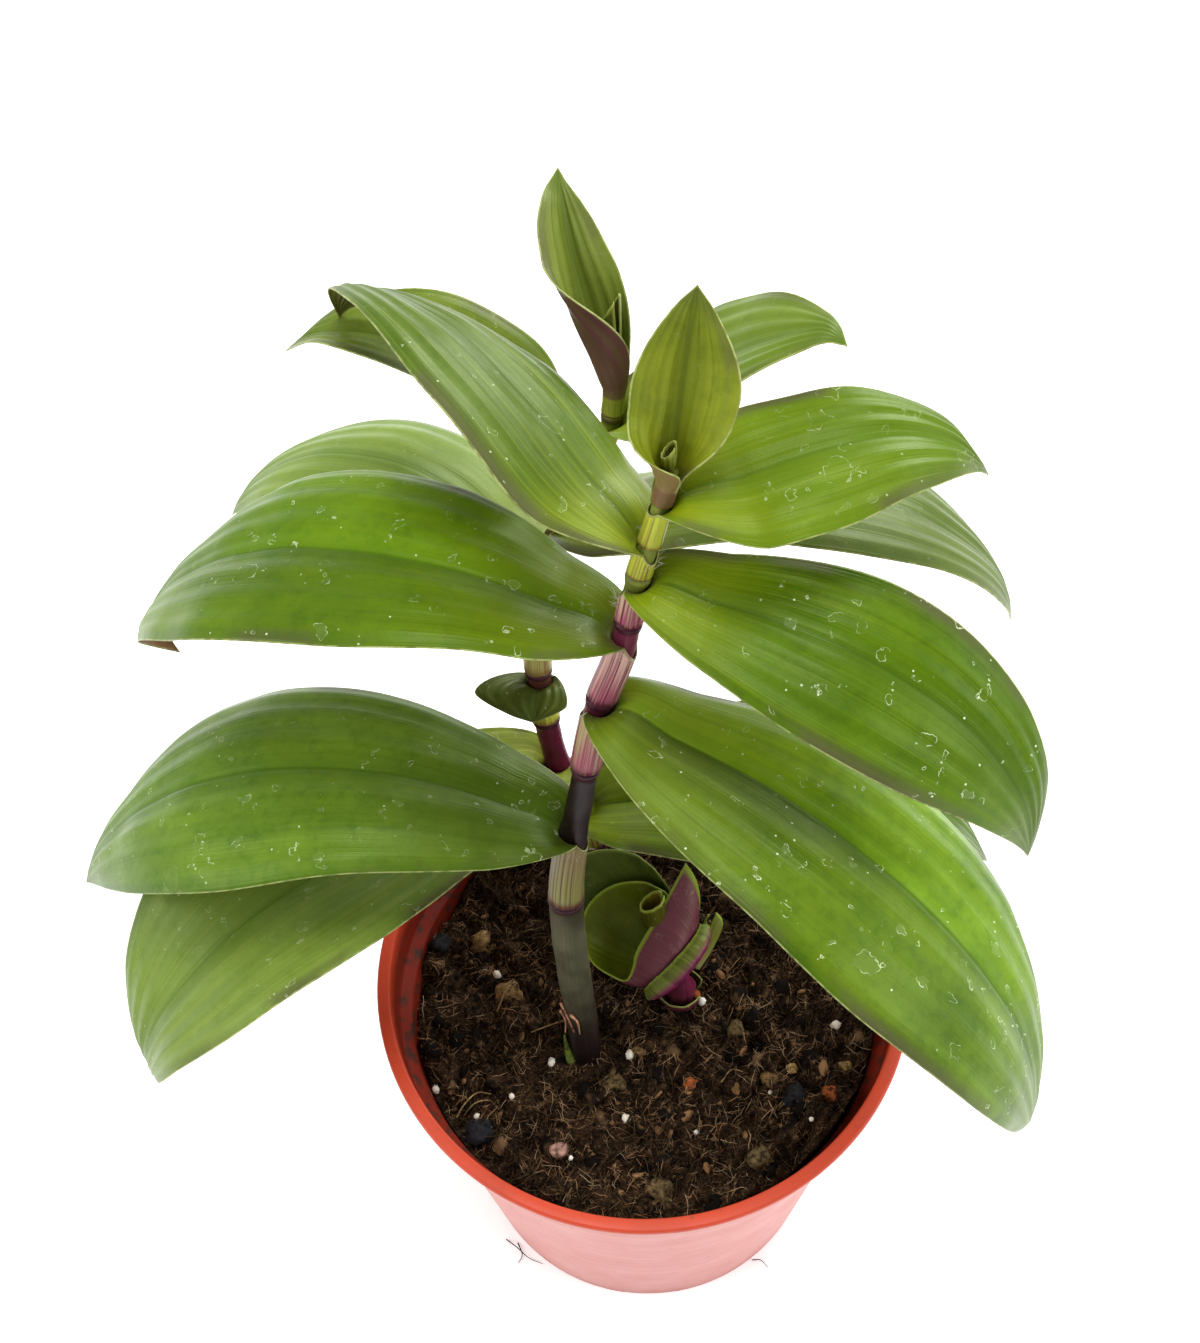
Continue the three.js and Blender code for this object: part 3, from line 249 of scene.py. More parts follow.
ROLL_START = (0.02, 0.01, 1)
SHOOT_INNER = dict(
    base=(8.2, 3, 88.2), axis=(-0.62, 0.37, 0.69), base_radius=2.75, start=55, sweep=-356, bulge=1.8, lap=2.3,
    lap_end=0.45,
    rim=[(10.3, 18.6, 109), (6, 13, 104), (2.4, 8.3, 100), (-1.4, 3.2, 96), (-2.2, 0.4, 94.2),
         (-3.8, -1.7, 92.4), (-8.6, 0.8, 90.8), (-12.5, 5.2, 90.6), (-13.8, 10.5, 92.2), (-13.2, 14.4, 94.2),
         (-10.6, 17.2, 96.9), (-5.2, 18.6, 100.4), (0.4, 17.6, 102.6), (5.4, 14.6, 103.4)])
SHOOT_WRAPS = {
    "shoot_leaf_back": dict(
        base_radius=3.95, start=70, sweep=124, bulge=1.8, spacing=1.6,
        reach=[(0.97, 1.18), (0.92, 1.3), (0.85, 1.36), (0.77, 1.42), (0.69, 1.36), (0.62, 1.12)]),
    "shoot_leaf_under": dict(
        base_radius=3.95, start=-80, sweep=128, bulge=1.8, lap=2.5, lap_end=1.3, spacing=1.1,
        reach=[(0.38, 0.52), (0.31, 0.58), (0.23, 0.52), (0.15, 0.42), (0.08, 0.34), (0.02, 0.28)]),
}
SMALL_ROLLS = {
    "shoot_leaf_core": dict(
        base=(4.4, 8, 92.3), axis=(-0.147, 0.3, 0.94), base_radius=1.3, start=60, sweep=-320, bulge=0.3,
        reach=12.6, mouth=3, slant=1.2),
    "shoot_leaf_side": dict(
        base=(11.9, 3.4, 87.6), axis=(0.42, 0.76, 0.49), base_radius=0.9, start=0, sweep=300, bulge=0.4,
        reach=11.5, mouth=1.9, slant=2.2),
    "shoot_bract": dict(
        base=(8.7, 0.5, 79.95), axis=(0, 0.05, 1), base_radius=4.1, start=30, sweep=-310, bulge=0.3,
        reach=3.2, mouth=5.3, slant=1),
    "main_leaf_roll": dict(
        base=(6, 4.5, 252.5), axis=(-0.05, 0.1, 0.99), base_radius=0.7, start=60, sweep=310, bulge=0.1,
        reach=3.6, mouth=1.2, slant=1.2),
    "back_leaf_roll": dict(
        base=(-2.2, 45, 235.5), axis=(-0.06, 0.3, 0.95), base_radius=0.75, start=60, sweep=310, bulge=0.1,
        reach=11.3, mouth=1.7, slant=2.5),
}
SMALL_ROLL_CORNERS, WRAP_STATIONS, LAP_EASE = 8, 1400, 0.25
RIB_HEIGHT, RIBS = 0.06, 9
ROLL_GRAIN_TURN, FLAP_MARGIN, ROLL_WARP, ROLL_THIN_MARGIN = 5, 0.15, (0.25, 6), 1.6

# ---------------------------------------------------------------- shaping


def smoothstep(x, low, high):
    t = np.clip((x - low) / (high - low), 0, 1)
    return t * t * (3 - 2 * t)


def between(pairs, key):
    keys, values = zip(*pairs)
    return np.interp(key, keys, values)


def unit(vector):
    return vector / np.linalg.norm(vector)


def stem_point(stem, z):
    """The middle of a stem at a height, on a smooth curve through its listed points."""
    line = np.array(stem["line"], float)
    i = int(np.clip(np.searchsorted(line[:, 2], z), 1, len(line) - 1))
    a, b = line[i - 1], line[i]
    before, after = line[max(i - 2, 0)], line[min(i + 1, len(line) - 1)]
    span = b[2] - a[2]
    t = (z - a[2]) / span
    slope_a = (b - before) / (b[2] - before[2])
    slope_b = (after - a) / (after[2] - a[2])
    point = (1 + 2 * t) * (1 - t) ** 2 * a + t * (1 - t) ** 2 * span * slope_a
    point = point + t * t * (3 - 2 * t) * b + t * t * (t - 1) * span * slope_b
    point[2] = z
    return point


def stem_direction(stem, z):
    return unit(stem_point(stem, z + HALF_STEP) - stem_point(stem, z - HALF_STEP))


def square_to(axis, wanted):
    """Two directions square to an axis, the first as near as can be to a wanted one."""
    first = unit(np.array(wanted) - axis * np.dot(wanted, axis))
    return first, np.cross(axis, first)


def unevenness(points, height, length, seed):
    """Soft natural bumps: one number for each point."""
    offset = Vector((seed * 17.3, seed * 5.1, seed * 9.7))
    return np.array([height * noise.noise(Vector(p) / length + offset) for p in points])


def level_arm(angle):
    """The level direction at a compass angle in radians."""
    return np.array([math.cos(angle), math.sin(angle), 0.0])


def put(name, data):
    """Places a mesh, a light or a camera in the scene."""
    thing = bpy.data.objects.new(name, data)
    bpy.context.collection.objects.link(thing)
    return thing


def write_attributes(mesh, attributes):
    """Gives each point of a mesh its own numbers and vectors, by name."""
    for key, values in attributes.items():
        values = np.asarray(values, float)
        kind, field = ("FLOAT", "value") if values.ndim == 1 else ("FLOAT_VECTOR", "vector")
        mesh.attributes.new(key, kind, "POINT").data.foreach_set(field, values.ravel())


def mesh_piece(name, points, faces, material=None, attributes=None):
    mesh = bpy.data.meshes.new(name)
    mesh.from_pydata((np.asarray(points) * MM).tolist(), [], faces)
    write_attributes(mesh, attributes or {})
    mesh.shade_smooth()
    if material:
        mesh.materials.append(material)
    mesh.update()
    return put(name, mesh)


def settle(piece, slot, *nodes):
    """Joins a finished piece to the frame."""
    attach(piece, "root")
    if nodes:
        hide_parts(*nodes)
    return piece


def quad_normals(points, quads, fan=()):
    total = np.zeros_like(points)
    a, b, c, d = (points[quads[:, i]] for i in range(4))
    normal = np.cross(c - a, d - b)
    for corner in range(4):
        np.add.at(total, quads[:, corner], normal)
    for face in fan:
        a, b, c = points[list(face)]
        total[list(face)] += np.cross(b - a, c - a)
    return total / np.linalg.norm(total, axis=1, keepdims=True)


def open_edges(faces):
    edges = {}
    for face in faces:
        for start, end in zip(face, face[1:] + face[:1]):
            if (end, start) in edges:
                del edges[(end, start)]
            else:
                edges[(start, end)] = True
    return list(edges)


def thick_leaf(name, points, quads, fan, thickness, upper_relief, lower_relief, attributes, material):
    """A closed leaf from a sheet of points: an upper and a lower skin, joined along the margins."""
    normals = quad_normals(points, quads, fan)
    half = thickness[:, None] / 2
    upper = points + normals * (half + upper_relief[:, None])
    lower = points + normals * (lower_relief[:, None] - half)
    faces = quads.tolist() + [list(face) for face in fan]
    n = len(points)
    walls = [[b, a, n + a, n + b] for a, b in open_edges(faces)]
    turned = [[n + i for i in reversed(face)] for face in faces]
    doubled = {key: np.concatenate([values, values]) for key, values in attributes.items()}
    doubled["under"] = np.concatenate([np.zeros(n), np.ones(n)])
    return mesh_piece(name, np.concatenate([upper, lower]), faces + turned + walls, material, doubled)


# ---------------------------------------------------------------- leaves


def blade_profile(leaf, u):
    """Half width along a blade, as a share of its widest."""
    if u < leaf["belly"]:
        swell = math.sin(math.pi / 2 * u / leaf["belly"]) ** FOOT_CURVE
        return leaf["base_width"] + (1 - leaf["base_width"]) * swell
    t = (u - leaf["belly"]) / (1 - leaf["belly"])
    return (1 - t ** SHOULDER_CURVE) ** POINT_CURVE


def blade_directions(leaf, u):
    """Along, across and out of a blade at a share of its length."""
    hooked = leaf["hook"] * smoothstep(u, HOOK_START, 1)
    slope = math.radians(leaf["rise"] + (leaf["fall"] - leaf["rise"]) * u ** leaf["bend"] - hooked)
    heading = math.radians(leaf["heading"] + leaf["turn"] * u)
    flat = math.cos(slope)
    along = np.array([flat * math.cos(heading), flat * math.sin(heading), math.sin(slope)])
    across = np.array([-math.sin(heading), math.cos(heading), 0])
    out = np.cross(along, across)
    lean = math.radians(leaf["roll"] + leaf["twist"] * u)
    side = across * math.cos(lean) + out * math.sin(lean)
    return along, side, out * math.cos(lean) - across * math.sin(lean)


def midrib(leaf, start, shares):
    """The points of a blade's midrib at shares of its length."""
    line = [start]
    for i in range(MIDRIB_STEPS):
        along = blade_directions(leaf, (i + 0.5) / MIDRIB_STEPS)[0]
        line.append(line[-1] + along * leaf["length"] / MIDRIB_STEPS)
    line = np.array(line)
    stations = np.arange(MIDRIB_STEPS + 1) / MIDRIB_STEPS
    return np.stack([np.interp(shares, stations, line[:, axis]) for axis in range(3)], axis=1)


def clasp_angles(leaf, v):
    """How far round the stem the places across a blade's foot are."""
    return v * np.where(v > 0, math.radians(leaf["clasp_left"]), math.radians(leaf["clasp_right"]))


def blade_row(leaf, u, middle, v, opening, radius):
    """The points across a blade at one share of its length, v from -1 at the right margin to 1 at the left.

    A furled blade is a roll of the given radius where opening is 0.
    """
    _, side, normal = blade_directions(leaf, u)
    t = np.abs(v)
    flattening = smoothstep(u, FLAT_TIP, 1)
    fold = math.radians(leaf["fold"]) * (1 - FOLD_EASE * u) * (1 - flattening)
    curl = math.radians(leaf["curl"]) * np.ones_like(v)
    half = np.where(v > 0, leaf["left"], leaf["right"]) * blade_profile(leaf, u)
    if leaf["furled"]:
        rolled = np.abs(clasp_angles(leaf, np.sign(v)))
        fold = fold * opening
        curl = curl * opening - rolled * (1 - opening)
        half = rolled * radius * (1 - opening) + half * opening
        curl = np.where(np.abs(curl) < LEAST_CURL, LEAST_CURL, curl)
    phase = leaf["phase"] + np.where(v > 0, WAVE_OFFSET, 0)
    ripple = leaf["wave"] * t * t * np.sin(2 * math.pi * leaf["waves"] * u + phase) * (1 - u)
    sideways = half * (math.sin(fold) - np.sin(fold - curl * t)) / curl
    raised = half * (np.cos(fold - curl * t) - math.cos(fold)) / curl + ripple
    points = middle + side * (np.sign(v) * sideways)[:, None] + normal * raised[:, None]
    return points, half


def leaf_piece(name, leaf, material):
    """A leaf, from the foot of its sheath to its tip.

    grain runs along the leaf: two numbers for the place across it and one for the way along it. place holds
    the distance from the midrib, the share of the way along (below 0 on the sheath) and the distance from the
    margin.
    """
    stem = leaf["stem"]
    facing = level_arm(math.radians(leaf["heading"]))
    wrap_radius = lambda z: between(stem["radius"], z) + GAP + LEAF / 2
    mouth_radius = wrap_radius(leaf["mouth"]) + MOUTH_FLARE - SHEATH_TUCK
    centre = stem_point(stem, leaf["mouth"])
    across = np.linspace(-1, 1, 2 * BLADE_HALF_COLUMNS + 1)
    columns = len(across)
    turns = clasp_angles(leaf, across)
    behind_arc = 2 * math.pi - turns[-1] + turns[0]
    behind_steps = max(2, round(behind_arc / math.radians(SHEATH_STEP)))
    behind = np.arange(1, behind_steps) / behind_steps
    angles = np.concatenate([turns, turns[-1] + behind_arc * behind])
    dips = np.concatenate([np.zeros(columns), leaf["dip"] * np.sin(math.pi * behind)])
    ring = len(angles)
    points, grain, place, share_across = [], [], [], []
    shares = np.concatenate([across, np.ones(ring - columns)])
    from_middle = np.concatenate([np.abs(turns), turns[-1] + (-turns[0] - turns[-1]) * behind])
    foot = leaf["node"] + SHEATH_FOOT
    for i in range(SHEATH_ROWS + 1):
        for k, angle in enumerate(angles):
            top = leaf["mouth"] - dips[k]
            z = foot + (top - foot) * i / SHEATH_ROWS
            flare = smoothstep(z, top - FLARE_HEIGHT, top) * MOUTH_FLARE
            first, second = square_to(stem_direction(stem, z), facing)
            radius = wrap_radius(z) + flare - SHEATH_TUCK
            arm = first * math.cos(angle) + second * math.sin(angle)
            points.append(stem_point(stem, z) + arm * radius)
            grain.append((math.cos(angle), math.sin(angle), (z - leaf["mouth"]) / GRAIN_LENGTH))
            margin_turn = turns[-1] if shares[k] > 0 else -turns[0]
            to_margin = (margin_turn - abs(angle)) * radius
            edge = math.hypot(leaf["mouth"] - z, to_margin) if k < columns else top - z
            place.append((from_middle[k] * radius, (i / SHEATH_ROWS) - 1, edge))
            share_across.append(shares[k])
    quads = []
    for i in range(SHEATH_ROWS):
        for k in range(ring):
            following = (k + 1) % ring
            here, above = i * ring, (i + 1) * ring
            quads.append([here + k, above + k, above + following, here + following])
    row_count = max(FEWEST_ROWS, round(leaf["length"] / ROW_LENGTH))
    stations = (np.arange(1, row_count + 1) / row_count) ** ROW_CROWDING
    stations[-2] = 1 - LAST_ROW / row_count
    middles = midrib(leaf, centre + facing * mouth_radius, stations)
    below = SHEATH_ROWS * ring
    for u, middle in zip(stations[:-1], middles[:-1]):
        walked = u * leaf["length"]
        opening = smoothstep(walked, 0, leaf["throat"])
        reach = mouth_radius + leaf["flare"] * walked
        row, half = blade_row(leaf, u, middle, across, opening, reach)
        if not leaf["furled"]:
            angle = math.radians(leaf["heading"]) + turns
            cup = centre + UP * leaf["lift"] * walked
            cup = cup + np.stack([reach * np.cos(angle), reach * np.sin(angle), np.zeros(columns)], axis=1)
            row = cup + (row - cup) * opening
        first_point = len(points)
        points.extend(row)
        to_tip = (1 - u) * leaf["length"]
        for v, turn, width in zip(across, turns, half):
            grain.append((math.cos(turn), math.sin(turn), walked / GRAIN_LENGTH))
            place.append((abs(v) * width, u, min((1 - abs(v)) * width, to_tip)))
            share_across.append(v)
        for k in range(columns - 1):
            quads.append([below + k, first_point + k, first_point + k + 1, below + k + 1])
        below = first_point
    tip = len(points)
    points.append(middles[-1])
    grain.append((1, 0, leaf["length"] / GRAIN_LENGTH))
    place.append((0, 1, 0))
    share_across.append(0)
    fan = [(below + k, tip, below + k + 1) for k in range(columns - 1)]
    points, quads = np.array(points), np.array(quads)
    grain, place = np.array(grain), np.array(place)
    x, level, edge = place.T
    spread = smoothstep(level, *RELIEF_IN) * smoothstep(1.0 - level, *RELIEF_OUT)
    pleats = PLEAT_HEIGHT * np.cos(2 * math.pi * PLEATS * np.abs(share_across))
    pleats = pleats * smoothstep(edge, 0, PLEAT_MARGIN)
    warp = sum(unevenness(points, height, size, seed + len(name)) for height, size, seed in WARPS)
    groove = GROOVE_DEPTH * np.exp(-(x / GROOVE_WIDTH) ** 2) * smoothstep(level, *GROOVE_IN)
    groove = groove * smoothstep(1.0 - level, *GROOVE_OUT)
    relief = (pleats + warp) * spread
    full = SHEATH_THICKNESS + (LEAF - SHEATH_THICKNESS) * smoothstep(level, 0, THICKENING)
    thickness = THIN_EDGE + (full - THIN_EDGE) * smoothstep(edge, 0, THIN_MARGIN)
    return thick_leaf(name, points, quads, fan, thickness, relief - groove, relief - GROOVE_BELOW * groove,
                      {"grain": grain, "place": place}, material)


# ---------------------------------------------------------------- stems


def tube(sections, sides, towards=(1.0, 0.0, 0.0)):
    """Points and faces of a closed tube from (centre, axis, radius) sections."""
    points, faces = [], []
    for centre, axis, radius in sections:
        first, second = square_to(axis, towards)
        for k in range(sides):
            angle = 2 * math.pi * k / sides
            points.append(centre + (first * math.cos(angle) + second * math.sin(angle)) * radius)
    for i in range(len(sections) - 1):
        for k in range(sides):
            here, above, following = i * sides, (i + 1) * sides, (k + 1) % sides
            faces.append([here + k, here + following, above + following, above + k])
    ring = list(range(sides))
    last = (len(sections) - 1) * sides
    return points, faces + [ring[::-1], [last + k for k in ring]]


def stem_piece(name, stem, material):
    """A stem with its swollen rings, filling the sheaths that wrap it."""
    top = stem["line"][-1][2]
    heights = set(np.arange(BURIED, top, STEM_STEP)) | {top}
    for node in stem["nodes"]:
        heights |= {node - below for below, _ in RING_SHAPE}
    heights = sorted(z for z in heights if z <= top)
    ring_shape = [(-below, rise) for below, rise in RING_SHAPE]
    wraps = [(leaf["node"], leaf["mouth"]) for leaf in LEAVES.values() if leaf["stem"] is stem]
    sections, tones, swell = [], [], []
    tone_heights, tone_colours = zip(*stem["tones"])
    for z in heights:
        rise = max([float(between(ring_shape, z - node)) for node in stem["nodes"]] + [0])
        filling = max([smoothstep(z, foot, foot + SHEATH_EASE)
                       * smoothstep(mouth + SHEATH_EASE - z, 0, SHEATH_EASE) for foot, mouth in wraps] + [0])
        wobble = sum(height * math.sin(z * pace + start) for height, pace, start in STEM_WOBBLES)
        wobble = wobble * (1 - min(rise, 1)) * (1 - filling)
        radius = between(stem["radius"], z) + rise + wobble + FILLED * filling
        sections.append((stem_point(stem, z), stem_direction(stem, min(z, top - HALF_STEP)), radius))
        tones.append([np.interp(z, tone_heights, part) for part in zip(*tone_colours)])
        swell.append(min(rise * 2, 1) * (1 - 0.75 * smoothstep(z, *PALE_RINGS)))
    points, faces = tube(sections, STEM_SIDES)
    angles = 2 * math.pi * np.arange(STEM_SIDES) / STEM_SIDES
    grain = [(math.cos(a), math.sin(a), z / GRAIN_LENGTH) for z in heights for a in angles]
    attributes = {
        "grain": grain,
        "tones": np.repeat(tones, STEM_SIDES, axis=0),
        "swell": np.repeat(swell, STEM_SIDES),
    }
    return mesh_piece(name, points, faces, material, attributes)


# ---------------------------------------------------------------- rolled leaves


def smooth_edge(corners, count):
    """A soft curve through a rolled leaf's edge corners, evenly spaced in its corners' count."""
    corners = np.array(corners, float)
    last = len(corners) - 1
    knot_gap = lambda a, b: max(np.linalg.norm(b - a) ** 0.5, 1e-4)
    line = []
    for turn in np.linspace(0, 1, count):
        place = min(turn * last, last - 1e-9)
        i, t = int(place), place - int(place)
        p1, p2 = corners[i], corners[i + 1]
        p0 = corners[i - 1] if i > 0 else 2 * corners[0] - corners[1]
        p3 = corners[i + 2] if i + 2 <= last else 2 * corners[last] - corners[last - 1]
        d0, d1, d2 = knot_gap(p0, p1), knot_gap(p1, p2), knot_gap(p2, p3)
        m1 = ((p1 - p0) / d0 - (p2 - p0) / (d0 + d1) + (p2 - p1) / d1) * d1
        m2 = ((p2 - p1) / d1 - (p3 - p1) / (d1 + d2) + (p3 - p2) / d2) * d1
        t2, t3 = t * t, t * t * t
        line.append(p1 + m1 * t + (3 * p2 - 3 * p1 - 2 * m1 - m2) * t2 + (2 * p1 - 2 * p2 + m1 + m2) * t3)
    return np.array(line)


def roll_point(leaf, tip, turn, share):
    """A point of a rolled leaf, part of the way from the ring at its base to its free edge."""
    axis = unit(np.array(leaf["axis"], float))
    first, second = square_to(axis, np.array(ROLL_START, float))
    angle = math.radians(leaf["start"] + leaf["sweep"] * turn)
    arm = first * math.cos(angle) + second * math.sin(angle)
    lapped = 1 - smoothstep(turn, leaf["lap_end"] - LAP_EASE, leaf["lap_end"]) if "lap" in leaf else 0
    bulge = (leaf["bulge"] + leaf.get("lap", 0) * lapped) * math.sin(math.pi * min(share, 1))
    start = np.array(leaf["base"], float) + arm * leaf["base_radius"]
    return start + (tip - start) * share + arm * bulge, arm


def small_roll(leaf):
    """A small coil, with its rim on a slanted ring round its axis."""
    axis = unit(np.array(leaf["axis"], float))
    first, second = square_to(axis, np.array(ROLL_START, float))
    rim = []
    for i in range(SMALL_ROLL_CORNERS):
        angle = math.radians(leaf["start"] + leaf["sweep"] * i / (SMALL_ROLL_CORNERS - 1))
        along = leaf["reach"] + leaf["slant"] * math.cos(angle - math.radians(leaf["start"]))
        arm = first * math.cos(angle) + second * math.sin(angle)
        rim.append(np.array(leaf["base"]) + axis * along + arm * leaf["mouth"])
    return dict(leaf, rim=rim)


def wrap_leaf(inner, wrap):
    """A leaf that lies round the outside of another, a little way off it."""
    edge_line = smooth_edge(inner["rim"], WRAP_STATIONS + 1)
    rim = []
    for turn, reach in wrap["reach"]:
        tip = edge_line[round(turn * WRAP_STATIONS)]
        point, arm = roll_point(inner, tip, turn, reach)
        rim.append(point + arm * wrap["spacing"])
    return dict(wrap, base=inner["base"], axis=inner["axis"], rim=rim)


def rolled_leaf_piece(name, leaf, material, rows, columns):
    """A leaf still rolled into a cone, with a thin edge."""
    edge_line = smooth_edge(leaf["rim"], columns)
    points, grain, place = [], [], []
    for i in range(rows + 1):
        share = i / rows
        for k in range(columns):
            turn = k / (columns - 1)
            point, arm = roll_point(leaf, edge_line[k], turn, share)
            points.append(point)
            length = np.linalg.norm(edge_line[k] - np.array(leaf["base"]))
            sideways = min(turn, 1 - turn) * abs(math.radians(leaf["sweep"])) * leaf["base_radius"] * 2
            around = turn * ROLL_GRAIN_TURN
            grain.append((math.cos(around), math.sin(around), share * length / GRAIN_LENGTH))
            place.append((turn, share, min((1 - share) * length, sideways + FLAP_MARGIN)))
    quads = []
    for i in range(rows):
        for k in range(columns - 1):
            a = i * columns + k
            quads.append([a, a + columns, a + columns + 1, a + 1])
    points, quads, place = np.array(points), np.array(quads), np.array(place)
    if leaf["sweep"] < 0:
        quads = quads[:, ::-1]
    turn, level, edge = place.T
    relief = unevenness(points, *ROLL_WARP, len(name)) + RIB_HEIGHT * np.cos(turn * 2 * math.pi * RIBS)
    relief = relief * smoothstep(level, 0.1, 0.4)
    thickness = THIN_EDGE + (LEAF - THIN_EDGE) * smoothstep(edge, 0, ROLL_THIN_MARGIN)
    return thick_leaf(name, points, quads, (), thickness, relief, relief,
                      {"grain": grain, "place": place}, material)


# ---------------------------------------------------------------- pot and soil

OUTER_WALL = [(0, FOOT_RADIUS), (WALL_TOP, BODY_TOP_RADIUS), (BAND_FOOT, BAND_FOOT_RADIUS),
              (POT_HEIGHT, BAND_RADIUS)]


def pot_inner_radius(z):
    return between(OUTER_WALL, z) - WALL


def pot_profile():
    """The pot's section as (radius, height), from the middle of its floor's underside round to its top side.

    Each corner comes with its rounding.
    """
    lip_inner = RIM_RADIUS - LIP_WIDTH
    floor_top = FLOOR_HEIGHT + WALL
    corners = [
        (0, 0, 0), (WELL_RADIUS, 0, 0.5), (WELL_RADIUS + WELL_SLOPE, FLOOR_HEIGHT, 0.5),
        (FOOT_RADIUS - FOOT_RING_WIDTH - 1, FLOOR_HEIGHT, 0.4), (FOOT_RADIUS - FOOT_RING_WIDTH, 0, 0.4),
        (FOOT_RADIUS, 0, 0.8), (BODY_TOP_RADIUS, WALL_TOP, 0.7), (BAND_FOOT_RADIUS, BAND_FOOT, 0.9),
        (BAND_RADIUS, LIP_BOTTOM, 0.5), (RIM_RADIUS, LIP_BOTTOM, 0.5), (RIM_RADIUS, POT_HEIGHT, 0.7),
        (lip_inner, POT_HEIGHT, 0.7), (BAND_FOOT_RADIUS - WALL, BAND_FOOT, 0.9),
        (BODY_TOP_RADIUS - WALL, WALL_TOP, 0.9), (pot_inner_radius(floor_top), floor_top, 2.0),
        (WELL_RADIUS + WELL_SLOPE - 0.5, floor_top, 0.5),
        (WELL_RADIUS - 0.5, WALL, 0.5), (0, WALL, 0),
    ]
    section = [corners[0][:2]]
    for i in range(1, len(corners) - 1):
        before, here, after = (np.array(corners[i + step][:2], float) for step in (-1, 0, 1))
        back, on = unit(before - here), unit(after - here)
        half_angle = math.acos(np.clip(np.dot(back, on), -1, 1)) / 2
        cut = min(corners[i][2] / math.tan(half_angle), 0.45 * np.linalg.norm(before - here),
                  0.45 * np.linalg.norm(after - here))
        start, end = here + back * cut, here + on * cut
        for t in (0, 0.33, 0.67, 1):
            section.append(tuple((1 - t) ** 2 * start + 2 * t * (1 - t) * here + t * t * end))
    section.append(corners[-1][:2])
    fine = [section[0]]
    for point in section[1:]:
        start = fine[-1]
        steps = max(1, int(math.dist(start, point) // LONGEST_EDGE))
        for i in range(1, steps + 1):
            fine.append(tuple(a + (b - a) * i / steps for a, b in zip(start, point)))
    return fine


def closed_rings(ring_count, sides):
    """Faces of a closed skin: a first point, rings of points round it, and a last point."""
    at = lambda i, k: 1 + i * sides + k % sides
    last_ring, last_point = ring_count - 1, 1 + ring_count * sides
    faces = []
    for k in range(sides):
        faces.append([0, at(0, k + 1), at(0, k)])
        faces.append([last_point, at(last_ring, k), at(last_ring, k + 1)])
        for i in range(last_ring):
            faces.append([at(i, k), at(i, k + 1), at(i + 1, k + 1), at(i + 1, k)])
    return faces


def lathe(section, sides):
    """Points and faces of a section turned round the middle. The section starts and ends on the axis."""
    angles = [2 * math.pi * k / sides for k in range(sides)]
    rings = [(radius * math.cos(a), radius * math.sin(a), z) for radius, z in section[1:-1] for a in angles]
    points = [(0, 0, section[0][1]), *rings, (0, 0, section[-1][1])]
    return points, closed_rings(len(section) - 2, sides)


def merged(parts):
    """The points and faces of several (points, faces) parts in one."""
    points, faces = [], []
    for part_points, part_faces in parts:
        faces += [[len(points) + corner for corner in face] for face in part_faces]
        points += list(part_points)
    return points, faces


def cut_away(piece, cutter):
    """Takes the cutter's shape out of a piece and leaves a plain mesh."""
    modifier = piece.modifiers.new("cut", "BOOLEAN")
    modifier.operation = "DIFFERENCE"
    modifier.solver = "EXACT"
    modifier.object = cutter
    result = bpy.data.meshes.new_from_object(piece.evaluated_get(bpy.context.evaluated_depsgraph_get()))
    piece.modifiers.remove(modifier)
    piece.data = result
    bpy.data.objects.remove(cutter)


def pot_piece(material):
    """The whole pot, with its drain holes and the notches in its foot ring cut out."""
    piece = mesh_piece("nursery_pot", *lathe(pot_profile(), POT_SIDES), material)
    cutters = []
    for i in range(DRAIN_COUNT):
        middle = level_arm(2 * math.pi * i / DRAIN_COUNT) * DRAIN_CIRCLE + UP * (FLOOR_HEIGHT + WALL / 2)
        ends = [(middle + UP * side * 2 * WALL, UP, DRAIN_RADIUS) for side in (-1, 1)]
        cutters.append(tube(ends, DRILL_SIDES))
    box = [[3, 2, 1, 0], [4, 5, 6, 7], [0, 1, 5, 4], [1, 2, 6, 5], [2, 3, 7, 6], [3, 0, 4, 7]]
    for i in range(NOTCH_COUNT):
        outward = level_arm(2 * math.pi * (i + 0.5) / NOTCH_COUNT)
        across = np.cross(UP, outward)
        notch = [outward * (FOOT_RADIUS + reach * NOTCH_REACH) + across * side * NOTCH_WIDTH / 2 + UP * z
                 for z in (CUTTER_BELOW, NOTCH_HEIGHT)
                 for reach, side in ((-1, -1), (1, -1), (1, 1), (-1, 1))]
        cutters.append((notch, box))
    cut_away(piece, mesh_piece("pot_cutter", *merged(cutters), material))
    mesh = piece.data
    mesh.shade_smooth()
    place = np.empty(len(mesh.vertices) * 3)
    mesh.vertices.foreach_get("co", place)
    x, y, z = place.reshape(-1, 3).T / MM
    radius = np.hypot(x, y)
    outer_radius = between(OUTER_WALL, z)
    # outside holds the outer wall, painted pale with the floor's bounce light; inside holds the inner skin,
    # painted dark with shade and soil-stained.
    outside = (radius > outer_radius - SKIN_DEPTH) & (z < BOUNCE_LIT_TOP)
    inside = (radius < outer_radius - SKIN_DEPTH) & (z < SHADE_AND_STAIN_TOP)
    write_attributes(mesh, {"outside": outside, "inside": inside})
    return piece


def seeded(seed):
    state = seed
    while True:
        state = (state * 16807) % 2147483647
        yield state / 2147483647


def soil_lumps():
    random = seeded(LUMP_SEED)
    lumps = []
    for _ in range(LUMP_COUNT):
        reach = BODY_TOP_RADIUS * math.sqrt(next(random))
        angle = 2 * math.pi * next(random)
        height = LUMP_HEIGHT[0] + (LUMP_HEIGHT[1] - LUMP_HEIGHT[0]) * next(random)
        spread = LUMP_SPREAD[0] + (LUMP_SPREAD[1] - LUMP_SPREAD[0]) * next(random)
        lumps.append((reach * math.cos(angle), reach * math.sin(angle), height, spread))
    return lumps


LUMPS = soil_lumps()
SOIL_FEET = [stem_point(stem, SOIL_LEVEL) for stem in (MAIN_STEM, BACK_STEM, SHOOT_STEM)]


